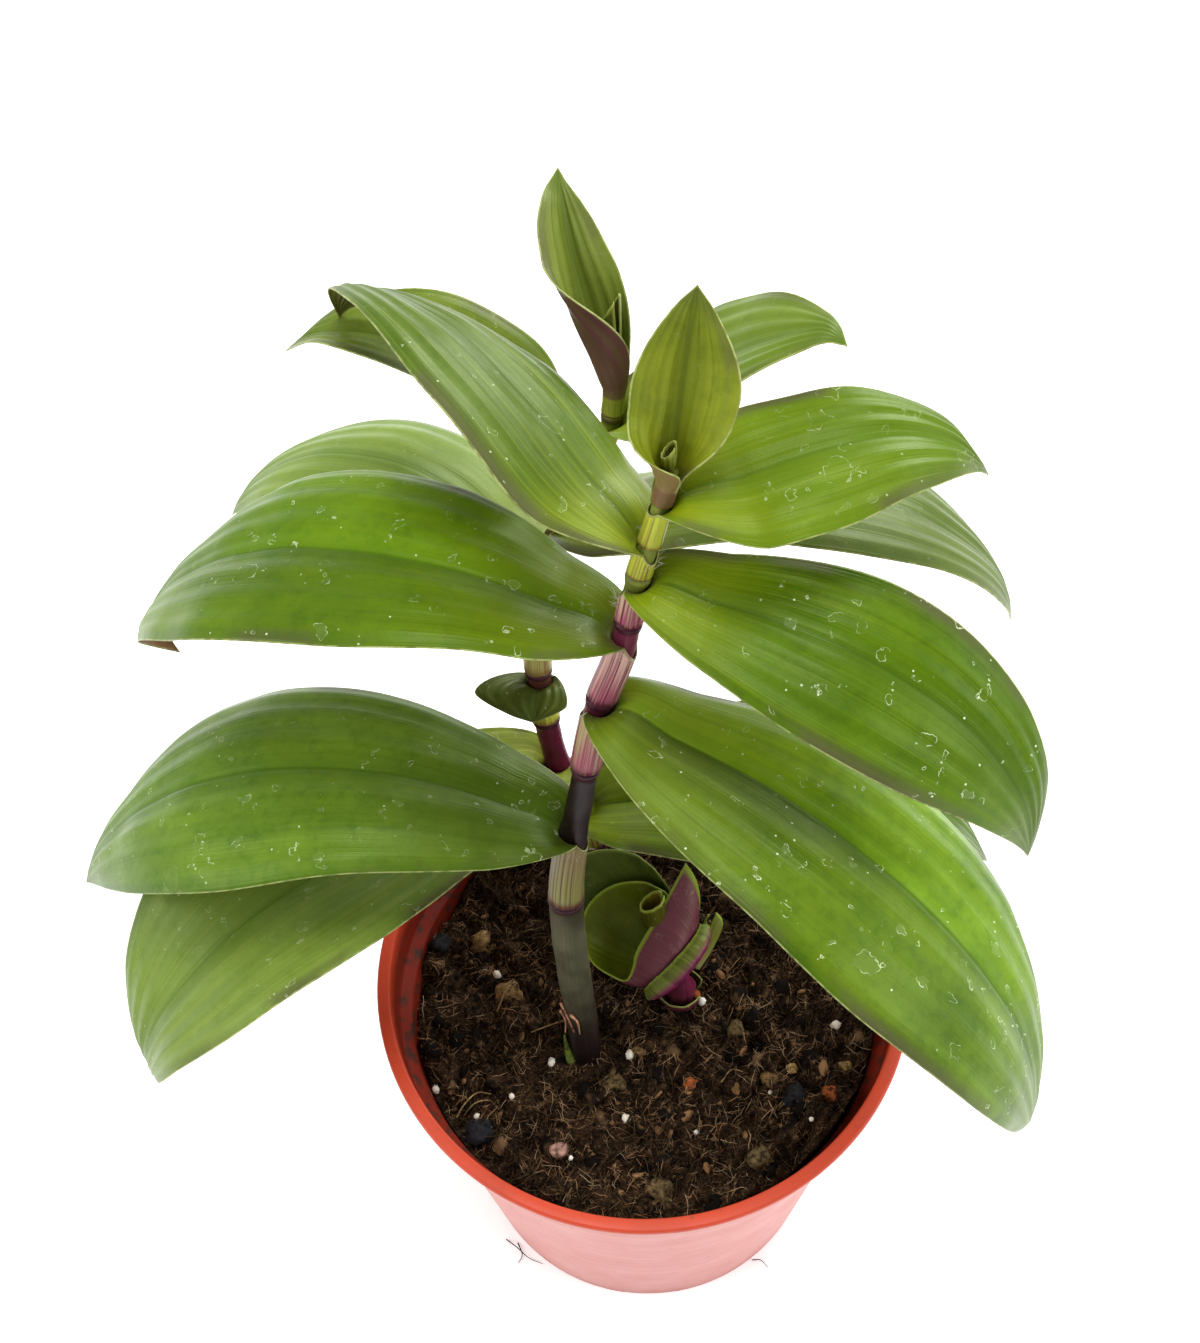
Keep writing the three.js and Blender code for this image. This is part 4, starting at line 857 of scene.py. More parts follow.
def soil_height(x, y):
    """The height of the firmed soil with its lumps, before its clods."""
    rise = (SOIL_TILT[0] * x + SOIL_TILT[1] * y) / RIM_RADIUS
    for lump_x, lump_y, height, spread in LUMPS:
        rise += height * math.exp(-((x - lump_x) ** 2 + (y - lump_y) ** 2) / spread ** 2)
    rise += CRUMB_HEIGHT * math.sin(0.61 * x + 1.3) * math.cos(0.53 * y)
    rise += 0.5 * CRUMB_HEIGHT * math.sin(1.7 * x - 1.1 * y)
    for foot in SOIL_FEET:
        rise *= 1 - math.exp(-((x - foot[0]) ** 2 + (y - foot[1]) ** 2) / FIRMED_RADIUS ** 2)
    return SOIL_LEVEL + rise


def clods(x, y):
    """Crumbs and pits finer than the soil's lumps."""
    rise = 0
    for height, length, seed in SOIL_CLODS:
        value = noise.noise(Vector((x / length, y / length, seed * 7.7)))
        rise += height * (1.35 * abs(value) - 0.35 if seed == 1 else value)
    return rise


def soil_top_at(x, y):
    return soil_height(x, y) + clods(x, y)


def soil_piece(material):
    """The soil: a crumbly top, and plain sides and bottom just clear of the pot."""
    radius_at = lambda z: pot_inner_radius(min(z, WALL_TOP)) - GAP
    bottom = FLOOR_HEIGHT + WALL + GAP
    points, faces, top_faces = [(0, 0, soil_top_at(0, 0))], [], []
    buried = [(radius_at(z), z) for z in BURIED_RINGS]
    buried += [(radius_at(bottom) - CORNER - 1, bottom), (WELL_RADIUS + WELL_SLOPE - 1.1, bottom),
               (WELL_RADIUS - 1.2, WALL + GAP)]
    rings = SOIL_RINGS + len(buried)
    edge = radius_at(SOIL_LEVEL)
    for i in range(1, rings + 1):
        for k in range(SOIL_SECTORS):
            angle = 2 * math.pi * k / SOIL_SECTORS
            x, y = math.cos(angle), math.sin(angle)
            if i <= SOIL_RINGS:
                radius = edge * i / SOIL_RINGS
                z = soil_top_at(radius * x, radius * y)
                if i == SOIL_RINGS:
                    radius = radius_at(z)
            else:
                radius, z = buried[i - SOIL_RINGS - 1]
            points.append((radius * x, radius * y, z))
    at = lambda i, k: 1 + (i - 1) * SOIL_SECTORS + k % SOIL_SECTORS
    for k in range(SOIL_SECTORS):
        faces.append([0, at(1, k), at(1, k + 1)])
        for i in range(1, rings):
            face = [at(i, k), at(i + 1, k), at(i + 1, k + 1), at(i, k + 1)]
            faces.append(face)
            if i < SOIL_RINGS - 2:
                top_faces.append(face)
    faces.append([at(rings, k) for k in reversed(range(SOIL_SECTORS))])
    return mesh_piece("potting_soil", points, faces, material), points, top_faces


# ---------------------------------------------------------------- node wiring


class Wire:
    """What a node gives out. It adds and multiplies like a number, and its methods lead it on."""

    def __init__(self, socket):
        self.socket = socket

    def through(self, kind, inputs, output=0, **settings):
        return wired(self.socket.id_data, kind, inputs, output, **settings)

    def maths(self, operation, other=0.0, **settings):
        return self.through("ShaderNodeMath", {0: self, 1: other}, operation=operation, **settings)

    def __add__(self, other):
        return self.maths("ADD", other)

    def __mul__(self, other):
        return self.maths("MULTIPLY", other)

    def __sub__(self, other):
        return self.maths("SUBTRACT", other)

    def __rsub__(self, other):
        return self.through("ShaderNodeMath", {0: other, 1: self}, operation="SUBTRACT")

    def ramp(self, low, high, start=0.0, end=1.0):
        """A soft step from start to end between low and high."""
        inputs = {"Value": self, "From Min": low, "From Max": high, "To Min": start, "To Max": end}
        return self.through("ShaderNodeMapRange", inputs, interpolation_type="SMOOTHSTEP")

    def clouds(self, scale, detail=2.0, roughness=0.5, distortion=0.0, output="Fac"):
        inputs = {"Vector": self, "Scale": scale, "Detail": detail, "Roughness": roughness,
                  "Distortion": distortion}
        return self.through("ShaderNodeTexNoise", inputs, output)

    def cells(self, scale):
        """The distance to the middle of the cell here, and three chances of that cell's own."""
        node = place_node(self.socket.id_data, "ShaderNodeTexVoronoi", {"Vector": self, "Scale": scale})
        return Wire(node.outputs["Distance"]), Wire(node.outputs["Color"]).parts()

    def stretched(self, scale):
        return self.through("ShaderNodeMapping", {"Vector": self, "Scale": scale})

    def moved(self, shift):
        return self.through("ShaderNodeVectorMath", {0: self, 1: shift}, operation="ADD")

    def scaled(self, factor):
        return self.through("ShaderNodeVectorMath", {0: self, "Scale": factor}, operation="SCALE")

    def parts(self):
        node = place_node(self.socket.id_data, "ShaderNodeSeparateXYZ", {0: self})
        return [Wire(part) for part in node.outputs]

    def tinted(self, tint):
        inputs = {0: 1.0, 6: self, 7: tint}
        return self.through("ShaderNodeMix", inputs, 2, data_type="RGBA", blend_type="MULTIPLY")

    def shared(self, group, inputs):
        """A shared effect's outputs, by name."""
        node = place_node(self.socket.id_data, "ShaderNodeGroup", inputs, node_tree=group)
        return {socket.name: Wire(socket) for socket in node.outputs}


def feed(node, inputs):
    """Fills a node's inputs, each with a wire or a plain value."""
    for key, value in inputs.items():
        if isinstance(value, Wire):
            node.id_data.links.new(value.socket, node.inputs[key])
        else:
            node.inputs[key].default_value = value


def place_node(tree, kind, inputs=None, **settings):
    node = tree.nodes.new(kind)
    for key, value in settings.items():
        setattr(node, key, value)
    feed(node, inputs or {})
    return node


def wired(tree, kind, inputs=None, output=0, **settings):
    return Wire(place_node(tree, kind, inputs, **settings).outputs[output])


def mixed(share, a, b):
    """Colour a, turned towards colour b by a share."""
    return share.through("ShaderNodeMix", {0: share, 6: a, 7: b}, 2, data_type="RGBA")


def attribute(tree, name, output="Fac"):
    return wired(tree, "ShaderNodeAttribute", output=output, attribute_name=name)


def object_place(tree):
    return wired(tree, "ShaderNodeTexCoord", output="Object")


def colour(red, green, blue):
    return (red, green, blue, 1.0)


def effect(name, inputs, outputs, tree_kind="ShaderNodeTree"):
    """An empty shared effect: its inputs by name, and the node that takes its outputs.

    An input comes with its kind, or with the number or colour that it starts from.
    """
    tree = bpy.data.node_groups.new(name, tree_kind)
    for label, start in inputs.items():
        kind = start if isinstance(start, str) else "Float" if isinstance(start, float) else "Color"
        socket = tree.interface.new_socket(name=label, in_out="INPUT", socket_type=f"NodeSocket{kind}")
        if kind != start:
            socket.default_value = start
    for label, kind in outputs.items():
        tree.interface.new_socket(name=label, in_out="OUTPUT", socket_type=f"NodeSocket{kind}")
    given = {socket.name: Wire(socket) for socket in tree.nodes.new("NodeGroupInput").outputs}
    return given, tree.nodes.new("NodeGroupOutput")


def new_material(name, **constants):
    material = bpy.data.materials.new(name)
    material.use_nodes = True
    tree = material.node_tree
    tree.nodes.clear()
    constants = {key.replace("_", " "): value for key, value in constants.items()}
    shader = place_node(tree, "ShaderNodeBsdfPrincipled", constants)
    place_node(tree, "ShaderNodeOutputMaterial", {0: Wire(shader.outputs[0])})
    return material, tree, shader


def dress(shader, base, rough, height, strength=0.3, distance=0.0003):
    """Feeds a shader its colour, roughness and relief."""
    bump = height.through("ShaderNodeBump", {"Strength": strength, "Distance": distance, "Height": height})
    feed(shader, {"Base Color": base, "Roughness": rough, "Normal": bump})


# ---------------------------------------------------------------- shared effects


def mineral_marks_effect():
    """White specks, broken rings and squiggles that dried water leaves on a leaf."""
    given, result = effect("mineral_marks", {"Place": "Vector", "Amount": 0.5}, {"Mask": "Float"})
    place = given["Place"]
    bent = place.moved(place.clouds(330.0, 3.0, output="Color").scaled(0.0055))
    broken = place.clouds(620.0, 3.0).ramp(0.44, 0.6)
    distance, chance = place.cells(380.0)
    marks = distance.ramp(0.05, 0.1, 1.0, 0.0) * chance[0].ramp(0.66, 0.7)
    for scale, least, spread, line_width in ((115.0, 0.08, 0.22, 0.013), (250.0, 0.1, 0.2, 0.028)):
        distance, chance = bent.cells(scale)
        radius = chance[1] * spread + least
        line = (distance - radius).maths("ABSOLUTE").ramp(0.2 * line_width, line_width, 0.75, 0.0) * broken
        film = (radius - distance).ramp(0.0, 0.03) * chance[2].ramp(0.6, 0.9, 0.0, 0.07)
        drawn = line.maths("MAXIMUM", film) * chance[0].ramp(0.42, 0.47)
        marks = marks.maths("MAXIMUM", drawn)
    marks = marks * place.clouds(28.0, 1.0).ramp(0.38, 0.56, 0.25, 1.0)
    feed(result, {"Mask": marks.maths("MULTIPLY", given["Amount"], use_clamp=True)})
    return result.id_data


def lengthwise_effect():
    """Broad and fine streaks that run along a leaf or a stem."""
    given, result = effect("lengthwise_streaks", {"Grain": "Vector", "Shift": 0.0},
                           {"Broad": "Float", "Fine": "Float", "Stripe": "Float"})
    shift = given["Shift"]
    moved = given["Grain"].moved(shift.through("ShaderNodeCombineXYZ", {0: shift, 2: shift}))
    for label, scale, detail, low, high in (
            ("Broad", (2.2, 2.2, 0.09), 1.5, 0.36, 0.66),
            ("Fine", (13.0, 13.0, 0.18), 2.0, 0.42, 0.7),
            ("Stripe", (6.0, 6.0, 0.07), 2.0, 0.44, 0.6)):
        feed(result, {label: moved.stretched(scale).clouds(1.0, detail, 0.6).ramp(low, high)})
    return result.id_data


MINERAL_MARKS = mineral_marks_effect()
LENGTHWISE = lengthwise_effect()


def blade_skin_effect():
    """A blade's two faces: streaks, blotches, midrib, margin and mineral marks.

    Shade is painted in the midrib's groove, and light and shade at the base and on each half.
    """
    given, result = effect(
        "blade_skin",
        {"Grain": "Vector", "Edges": "Vector", "Place": "Vector", "Under": 0.0, "Shift": 0.0,
         "Body": colour(0.08, 0.16, 0.015), "Shade": colour(0.03, 0.07, 0.006),
         "Glow": colour(0.2, 0.28, 0.03), "Underside": colour(0.1, 0.1, 0.03),
         "Tip": colour(0.06, 0.1, 0.02), "Glow Reach": 0.3, "Streaks": 0.5, "Marks": 0.5, "Left Half": 1.0,
         "Right Half": 1.0},
        {"Colour": "Color", "Roughness": "Float", "Height": "Float"})
    place, grain, glow, shade, under = (given[key] for key in ("Place", "Grain", "Glow", "Shade", "Under"))
    x, level, edge = given["Edges"].parts()
    streaks = grain.shared(LENGTHWISE, {"Grain": grain, "Shift": given["Shift"]})
    blotches = place.clouds(62.0, 3.0, 0.55).ramp(0.36, 0.66)
    mottle = place.clouds(420.0, 4.0, 0.65).ramp(0.42, 0.72)
    skin = mixed(blotches * 0.36 + mottle * 0.3 + streaks["Broad"] * 0.3, given["Body"], shade)
    skin = mixed(level.ramp(0.78, 1.02) * 0.7, skin, given["Tip"])
    # Painted light: the blade's base turns towards Glow, the light shining through the blade over its own
    # colour there.
    base_glow = level.ramp(0.0, given["Glow Reach"], 1.0, 0.0)
    skin = mixed(base_glow * (streaks["Broad"] * 0.35 + 0.6), skin, glow)
    skin = mixed(streaks["Fine"] * given["Streaks"] * level.ramp(0.0, 0.65, 0.55, 0.25), skin, glow)
    skin = mixed(streaks["Stripe"] * level.ramp(0.1, 0.8, 0.22, 0.08), skin, shade)
    # Painted shade: the midrib's groove is darkened, and a wider band beside it less so.
    groove = x.ramp(0.15, 0.75, 0.75, 0.0) * level.ramp(0.0, 0.06)
    skin = mixed(groove.maths("MAXIMUM", x.ramp(0.5, 5.0, 0.36, 0.0)), skin, shade)
    clear_of_sheath = level.ramp(0.0, 0.05)
    margin = edge.ramp(0.4, 3.0, 0.5, 0.0) * blotches.ramp(0.0, 1.0, 0.4, 1.0)
    skin = mixed(margin * clear_of_sheath, skin, shade)
    side_light = mixed(grain.parts()[1].ramp(-0.1, 0.1), given["Right Half"], given["Left Half"])
    skin = skin.tinted(mixed(level.ramp(0.4, 0.8), side_light, colour(1, 1, 1)))
    worn = edge.ramp(0.5, 3.5, 0.75, 0.0) * level.ramp(0.5, 0.9, 1.0, 0.3) * clear_of_sheath
    worn = worn * place.clouds(45.0, 3.0).ramp(0.46, 0.6)
    skin = mixed(worn, skin, colour(0.075, 0.065, 0.032))
    skin = mixed(under, skin, mixed(streaks["Broad"] * 0.25, given["Underside"], shade))
    pale_edge = edge.ramp(0.12, 0.3, 0.85, 0.0) * place.clouds(500.0).ramp(0.34, 0.6, 0.3, 1.0)
    skin = mixed(pale_edge, skin, colour(0.36, 0.4, 0.14))
    marks = place.shared(MINERAL_MARKS, {"Place": place, "Amount": given["Marks"]})["Mask"] * (1.0 - under)
    skin = mixed(marks, skin, colour(0.6, 0.68, 0.44))
    rough = place.clouds(90.0, 3.0) * 0.3 + 0.24 + marks * 0.3
    height = streaks["Fine"] * 0.4 + place.clouds(2600.0) * 0.4 + marks * 0.25
    feed(result, {"Colour": skin, "Roughness": rough, "Height": height})
    return result.id_data


def sheath_skin_effect():
    """A sheath: tan at the mouth, coloured further down, with stripes along it."""
    given, result = effect(
        "sheath_skin",
        {"Grain": "Vector", "Edges": "Vector", "Shift": 0.0, "Mouth": colour(0.35, 0.28, 0.14),
         "Middle": colour(0.3, 0.12, 0.14), "Foot": colour(0.08, 0.02, 0.04),
         "Stripe": colour(0.1, 0.03, 0.05), "Stripes": 0.7},
        {"Colour": "Color"})
    grain = given["Grain"]
    level, edge = given["Edges"].parts()[1:]
    streaks = grain.shared(LENGTHWISE, {"Grain": grain, "Shift": given["Shift"]})
    skin = mixed((streaks["Broad"] * 0.5 + level).ramp(-0.7, 0.05), given["Middle"], given["Mouth"])
    skin = mixed(level.ramp(-1.0, -0.86, 0.95, 0.0), skin, given["Foot"])
    stripes = streaks["Stripe"] * given["Stripes"] * level.ramp(-0.25, 0.0, 1.0, 0.5)
    skin = mixed(stripes, skin, given["Stripe"])
    skin = mixed(streaks["Fine"] * 0.4, skin, given["Mouth"])
    skin = mixed(edge.ramp(0.2, 0.5, 0.6, 0.0), skin, colour(0.42, 0.36, 0.2))
    feed(result, {"Colour": skin})
    return result.id_data


BLADE_SKIN = blade_skin_effect()
SHEATH_SKIN = sheath_skin_effect()

# Finishes, by the names of the effects' inputs. glow: the blade's colour at its base, its own colour there
# with
# painted light shining through the blade. marks: how strong the mineral marks are. left_half and right_half:
# how much light each half of the blade gets.
GREEN_SHEATH = dict(mouth=(0.44, 0.5, 0.045), middle=(0.38, 0.4, 0.045), foot=(0.22, 0.14, 0.04),
                    stripe=(0.17, 0.06, 0.03), stripes=0.75)
PINK_SHEATH = dict(mouth=(0.6, 0.38, 0.32), middle=(0.34, 0.06, 0.13), foot=(0.045, 0.003, 0.015),
                   stripe=(0.15, 0.012, 0.05), stripes=1.0)
LEAF_FINISH = dict(body=(0.085, 0.165, 0.006), shade=(0.03, 0.075, 0.002), glow=(0.2, 0.27, 0.008),
                   underside=(0.1, 0.09, 0.02), tip=(0.07, 0.12, 0.02), glow_reach=0.35, streaks=0.6,
                   marks=0.4, left_half=1, right_half=1, sheath=GREEN_SHEATH)
LEAF_FINISHES = {
    "main_leaf_low_left": dict(
        left_half=1, right_half=1.2, body=(0.125, 0.215, 0.016), shade=(0.045, 0.1, 0.005),
        glow=(0.045, 0.075, 0.002), marks=0.8, streaks=0.3,
        sheath=dict(mouth=(0.21, 0.16, 0.07), middle=(0.2, 0.2, 0.055), foot=(0.07, 0.006, 0.018),
                    stripe=(0.06, 0.016, 0.02), stripes=1.0)),
    "main_leaf_low_right": dict(
        left_half=1.75, right_half=0.78, body=(0.115, 0.2, 0.004), shade=(0.035, 0.085, 0.002),
        glow=(0.17, 0.235, 0.012), marks=0.95, streaks=0.4, glow_reach=0.32, tip=(0.15, 0.2, 0.05),
        sheath=dict(PINK_SHEATH, mouth=(0.36, 0.28, 0.15), middle=(0.27, 0.05, 0.1))),
    "main_leaf_middle_left": dict(
        left_half=0.93, right_half=1.4, body=(0.105, 0.185, 0.003), shade=(0.045, 0.1, 0.002),
        glow=(0.11, 0.145, 0.003), marks=0.8, streaks=0.6, glow_reach=0.3, tip=(0.14, 0.2, 0.03),
        underside=(0.16, 0.07, 0.03), sheath=PINK_SHEATH),
    "main_leaf_middle_right": dict(
        left_half=1.0, right_half=0.95, body=(0.082, 0.155, 0.001), shade=(0.035, 0.08, 0.001),
        glow=(0.22, 0.28, 0.006), marks=0.95, streaks=0.4, glow_reach=0.26, tip=(0.14, 0.19, 0.03),
        sheath=dict(PINK_SHEATH, mouth=(0.5, 0.34, 0.24))),
    "main_leaf_high_left": dict(
        body=(0.082, 0.135, 0.01), shade=(0.04, 0.08, 0.004), glow=(0.25, 0.31, 0.012), marks=0.6,
        streaks=0.6, glow_reach=0.22),
    "main_leaf_high_right": dict(
        body=(0.105, 0.175, 0.003), shade=(0.065, 0.125, 0.002), glow=(0.17, 0.21, 0.002), marks=0.6,
        streaks=0.6, tip=(0.045, 0.06, 0.012)),
    "main_leaf_tip": dict(
        body=(0.2, 0.24, 0.014), shade=(0.075, 0.1, 0.006), glow=(0.24, 0.26, 0.004), marks=0.15,
        streaks=0.3, glow_reach=0.35, underside=(0.19, 0.12, 0.05),
        sheath=dict(mouth=(0.15, 0.075, 0.04), middle=(0.16, 0.1, 0.04), foot=(0.14, 0.13, 0.02),
                    stripe=(0.12, 0.06, 0.02), stripes=0.4)),
    "back_leaf_low_right": dict(body=(0.1, 0.16, 0.02), marks=0.25),
    "back_leaf_low_left": dict(
        body=(0.15, 0.225, 0.035), shade=(0.08, 0.14, 0.016), glow=(0.34, 0.38, 0.05), glow_reach=0.22,
        underside=(0.15, 0.07, 0.035), marks=0.5),
    "back_leaf_stub": dict(
        body=(0.08, 0.1, 0.015), glow=(0.07, 0.09, 0.01), shade=(0.04, 0.055, 0.008), marks=0.3),
    "back_leaf_middle_left": dict(
        body=(0.18, 0.26, 0.045), shade=(0.1, 0.17, 0.028), glow=(0.24, 0.31, 0.04), marks=0.35,
        underside=(0.12, 0.12, 0.045),
        sheath=dict(GREEN_SHEATH, mouth=(0.36, 0.36, 0.1), middle=(0.3, 0.28, 0.09))),
    "back_leaf_middle_right": dict(body=(0.1, 0.14, 0.03), shade=(0.06, 0.095, 0.015), marks=0.35),
    "back_leaf_high_left": dict(
        body=(0.14, 0.19, 0.02), shade=(0.07, 0.11, 0.01), marks=0.3, underside=(0.1, 0.08, 0.03)),
    "back_leaf_high_right": dict(
        body=(0.15, 0.22, 0.02), shade=(0.08, 0.14, 0.01), marks=0.3, underside=(0.13, 0.06, 0.03)),
    "back_leaf_tip": dict(
        body=(0.145, 0.18, 0.025), shade=(0.085, 0.12, 0.012), glow=(0.14, 0.18, 0.01), streaks=0.25,
        underside=(0.125, 0.042, 0.05), marks=0.1,
        sheath=dict(mouth=(0.24, 0.26, 0.03), middle=(0.26, 0.32, 0.035), foot=(0.16, 0.05, 0.03),
                    stripe=(0.14, 0.08, 0.02), stripes=0.4)),
}


def by_label(values):
    """A finish's numbers and colours by the names of an effect's inputs."""
    return {key.replace("_", " ").title(): colour(*value) if isinstance(value, tuple) else value
            for key, value in values.items()}


def leaf_material(name, finish, shift):
    material, tree, shader = new_material(name, Specular_IOR_Level=0.24, Specular_Tint=colour(0.8, 1.0, 0.45))
    edges = attribute(tree, "place", "Vector")
    common = {"Grain": attribute(tree, "grain", "Vector"), "Edges": edges, "Shift": shift}
    blade_finish = by_label({key: value for key, value in finish.items() if key != "sheath"})
    blade = edges.shared(BLADE_SKIN, {"Place": object_place(tree), "Under": attribute(tree, "under"),
                                      **common, **blade_finish})
    sheath = edges.shared(SHEATH_SKIN, {**common, **by_label(finish["sheath"])})
    skin = mixed(edges.parts()[1].ramp(-0.1, 0.04), sheath["Colour"], blade["Colour"])
    dress(shader, skin, blade["Roughness"], blade["Height"], 0.35, 0.0002)
    return material


def stem_material(name, ring, streak_amount):
    """A stem's skin: its tones change with height, and its rings are dark."""
    material, tree, shader = new_material(name, Specular_IOR_Level=0.18)
    grain, place = attribute(tree, "grain", "Vector"), object_place(tree)
    tones = attribute(tree, "tones", "Color")
    streaks = grain.shared(LENGTHWISE, {"Grain": grain, "Shift": 3.0})
    blotches = place.clouds(160.0, 3.0)
    dimmed = tones.tinted(colour(0.45, 0.42, 0.42))
    skin = mixed(blotches.ramp(0.4, 0.65, 0.0, 0.6), tones, dimmed)
    skin = mixed(streaks["Fine"] * (0.5 * streak_amount), skin, tones.tinted(colour(2.1, 1.9, 1.8)))
    skin = mixed(streaks["Stripe"] * streak_amount, skin, dimmed)
    skin = mixed(attribute(tree, "swell").ramp(0.3, 0.9, 0.0, 0.85), skin, colour(*ring))
    height = streaks["Fine"] * 0.6 + place.clouds(1500.0)
    dress(shader, skin, blotches * 0.25 + 0.25, height, 0.3, 0.00015)
    return material


def rolled_material(name, inside, outside, rim, base, stripes=0.3, fade=(0.15, 0.6)):
    """A rolled leaf: one colour within, another outside, and a bright rim."""
    material, tree, shader = new_material(name, Specular_IOR_Level=0.3, Specular_Tint=colour(0.9, 1.0, 0.6))
    level, edge = attribute(tree, "place", "Vector").parts()[1:]
    place, grain = object_place(tree), attribute(tree, "grain", "Vector")
    streaks = grain.shared(LENGTHWISE, {"Grain": grain, "Shift": 5.0})
    blotches = place.clouds(220.0, 3.0).ramp(0.35, 0.65)
    within = mixed(blotches * 0.4, colour(*inside), colour(*[0.5 * part for part in inside]))
    within = mixed(streaks["Broad"] * 0.12, within, colour(*rim))
    without = mixed(level.ramp(*fade), colour(*base), colour(*outside))
    without = mixed(streaks["Stripe"] * stripes, without, without.tinted(colour(0.45, 0.4, 0.42)))
    without = mixed(streaks["Fine"] * 0.15, without, without.tinted(colour(1.7, 1.8, 1.8)))
    skin = mixed(attribute(tree, "under"), within, without)
    skin = mixed(edge.ramp(0.3, 0.9, 0.9, 0.0), skin, colour(*rim))
    skin = mixed(edge.ramp(0.1, 0.22, 0.5, 0.0), skin, colour(0.4, 0.45, 0.14))
    marks = place.shared(MINERAL_MARKS, {"Place": place, "Amount": 0.35})["Mask"]
    skin = mixed(marks, skin, colour(0.6, 0.62, 0.5))
    dress(shader, skin, blotches * 0.15 + 0.35, streaks["Fine"], 0.3, 0.0002)
    return material


def pot_material():
    """Thin red plastic, glossy on the lip.

    Outside it is painted pale pink with the white floor's bounce light; within it is painted dark with shade
    and is soil-stained.
    """
    material, tree, shader = new_material("pot_plastic_red", Specular_IOR_Level=0.25)
    place = object_place(tree)
    z = place.parts()[2]
    mottle = place.clouds(90.0, 4.0)
    rings = place.stretched((3.0, 3.0, 700.0)).clouds(1.0)
    red = mixed(mottle.ramp(0.35, 0.7, 0.0, 0.5), colour(0.48, 0.05, 0.018), colour(0.38, 0.045, 0.02))
    # The outer wall is painted pale pink with bounce light from the white floor; the plastic's own red shows
    # on the lip. Faint rings run round it, and it turns a darker red over its lowest millimetres.
    bounce_lit_wall = mixed(rings.ramp(0.4, 0.65), colour(0.53, 0.21, 0.187), colour(0.49, 0.182, 0.16))
    bounce_lit_wall = mixed(z.ramp(0.0015, 0.006, 1.0, 0.0) * 0.7, bounce_lit_wall, colour(0.4, 0.09, 0.06))
    stain = place.clouds(380.0, 5.0, 0.65).ramp(0.48, 0.66)
    # Within, the red is painted dark with shade, patched with real soil stains that grow darker just above
    # the soil.
    dark = mixed(stain, colour(0.18, 0.015, 0.006), colour(0.08, 0.016, 0.008))
    dark = mixed(z.ramp(0.081, 0.088, 1.0, 0.0) * stain, dark, colour(0.045, 0.02, 0.013))
    skin = mixed(attribute(tree, "outside"), red, bounce_lit_wall)
    skin = mixed(attribute(tree, "inside"), skin, dark)
    skin = mixed(place.clouds(900.0, 3.0).ramp(0.68, 0.74) * 0.6, skin, colour(0.09, 0.05, 0.035))
    dress(shader, skin, mottle * 0.3 + 0.28, rings + mottle, 0.15, 0.0002)
    return material


def soil_material(name, dark, mid, pale):
    """Crumbly peat: black in its pits, partly its own dark peat and partly painted shade, brown on its
    crumbs, with tan threads.
    """
    material, tree, shader = new_material(name, Specular_IOR_Level=0.06)
    place = object_place(tree)
    coarse, fine = place.clouds(260.0, 5.0, 0.7), place.clouds(1500.0, 4.0, 0.7)
    threads = place.stretched((500.0, 2200.0, 900.0)).clouds(1.0, 3.0, 0.6, 1.2)
    # Where the coarse relief is low the peat is painted near black: its own dark colour, deepened with
    # painted shade in the pits.
    skin = mixed(coarse.ramp(0.38, 0.62), colour(*dark), colour(*mid))
    skin = mixed(fine.ramp(0.5, 0.72, 0.0, 0.8), skin, colour(*pale))
    skin = mixed(threads.ramp(0.62, 0.7, 0.0, 0.55), skin, colour(*pale))
    dress(shader, skin, 0.85, coarse + fine * 0.7, 0.8, 0.0008)
    return material


def scrap_material(name, first, second, scale, rough=0.8, hollow=1.1):
    """Loose bits, each with its own tone between two colours. A low hollow darkens them in patches."""
    material, tree, shader = new_material(name, Specular_IOR_Level=0.1)
    place = object_place(tree)
    speckle = place.clouds(scale, 3.0, 0.65)
    patches = place.clouds(190.0).ramp(0.4, 0.58, hollow, 1.1)
    share = (attribute(tree, "tone") + (speckle * 0.6 - 0.3)) * patches
    skin = mixed(share.ramp(0.15, 1.15), colour(*first), colour(*second))
    dress(shader, skin, rough, speckle, 0.5, 0.0003)
    return material


def toned_material(name, scale):
    """Bits with a tone of their own each, speckled lighter and darker."""
    material, tree, shader = new_material(name, Specular_IOR_Level=0.15)
    tones = attribute(tree, "tones", "Color")
    speckle = object_place(tree).clouds(scale, 4.0, 0.7)
    skin = mixed(speckle.ramp(0.38, 0.5), tones.tinted(colour(0.2, 0.18, 0.16)), tones)
    skin = mixed(speckle.ramp(0.54, 0.64), skin, tones.tinted(colour(1.7, 1.7, 1.7)))
    dress(shader, skin, 0.75, speckle, 0.7, 0.0005)
    return material


# ---------------------------------------------------------------- what is strewn and what repeats


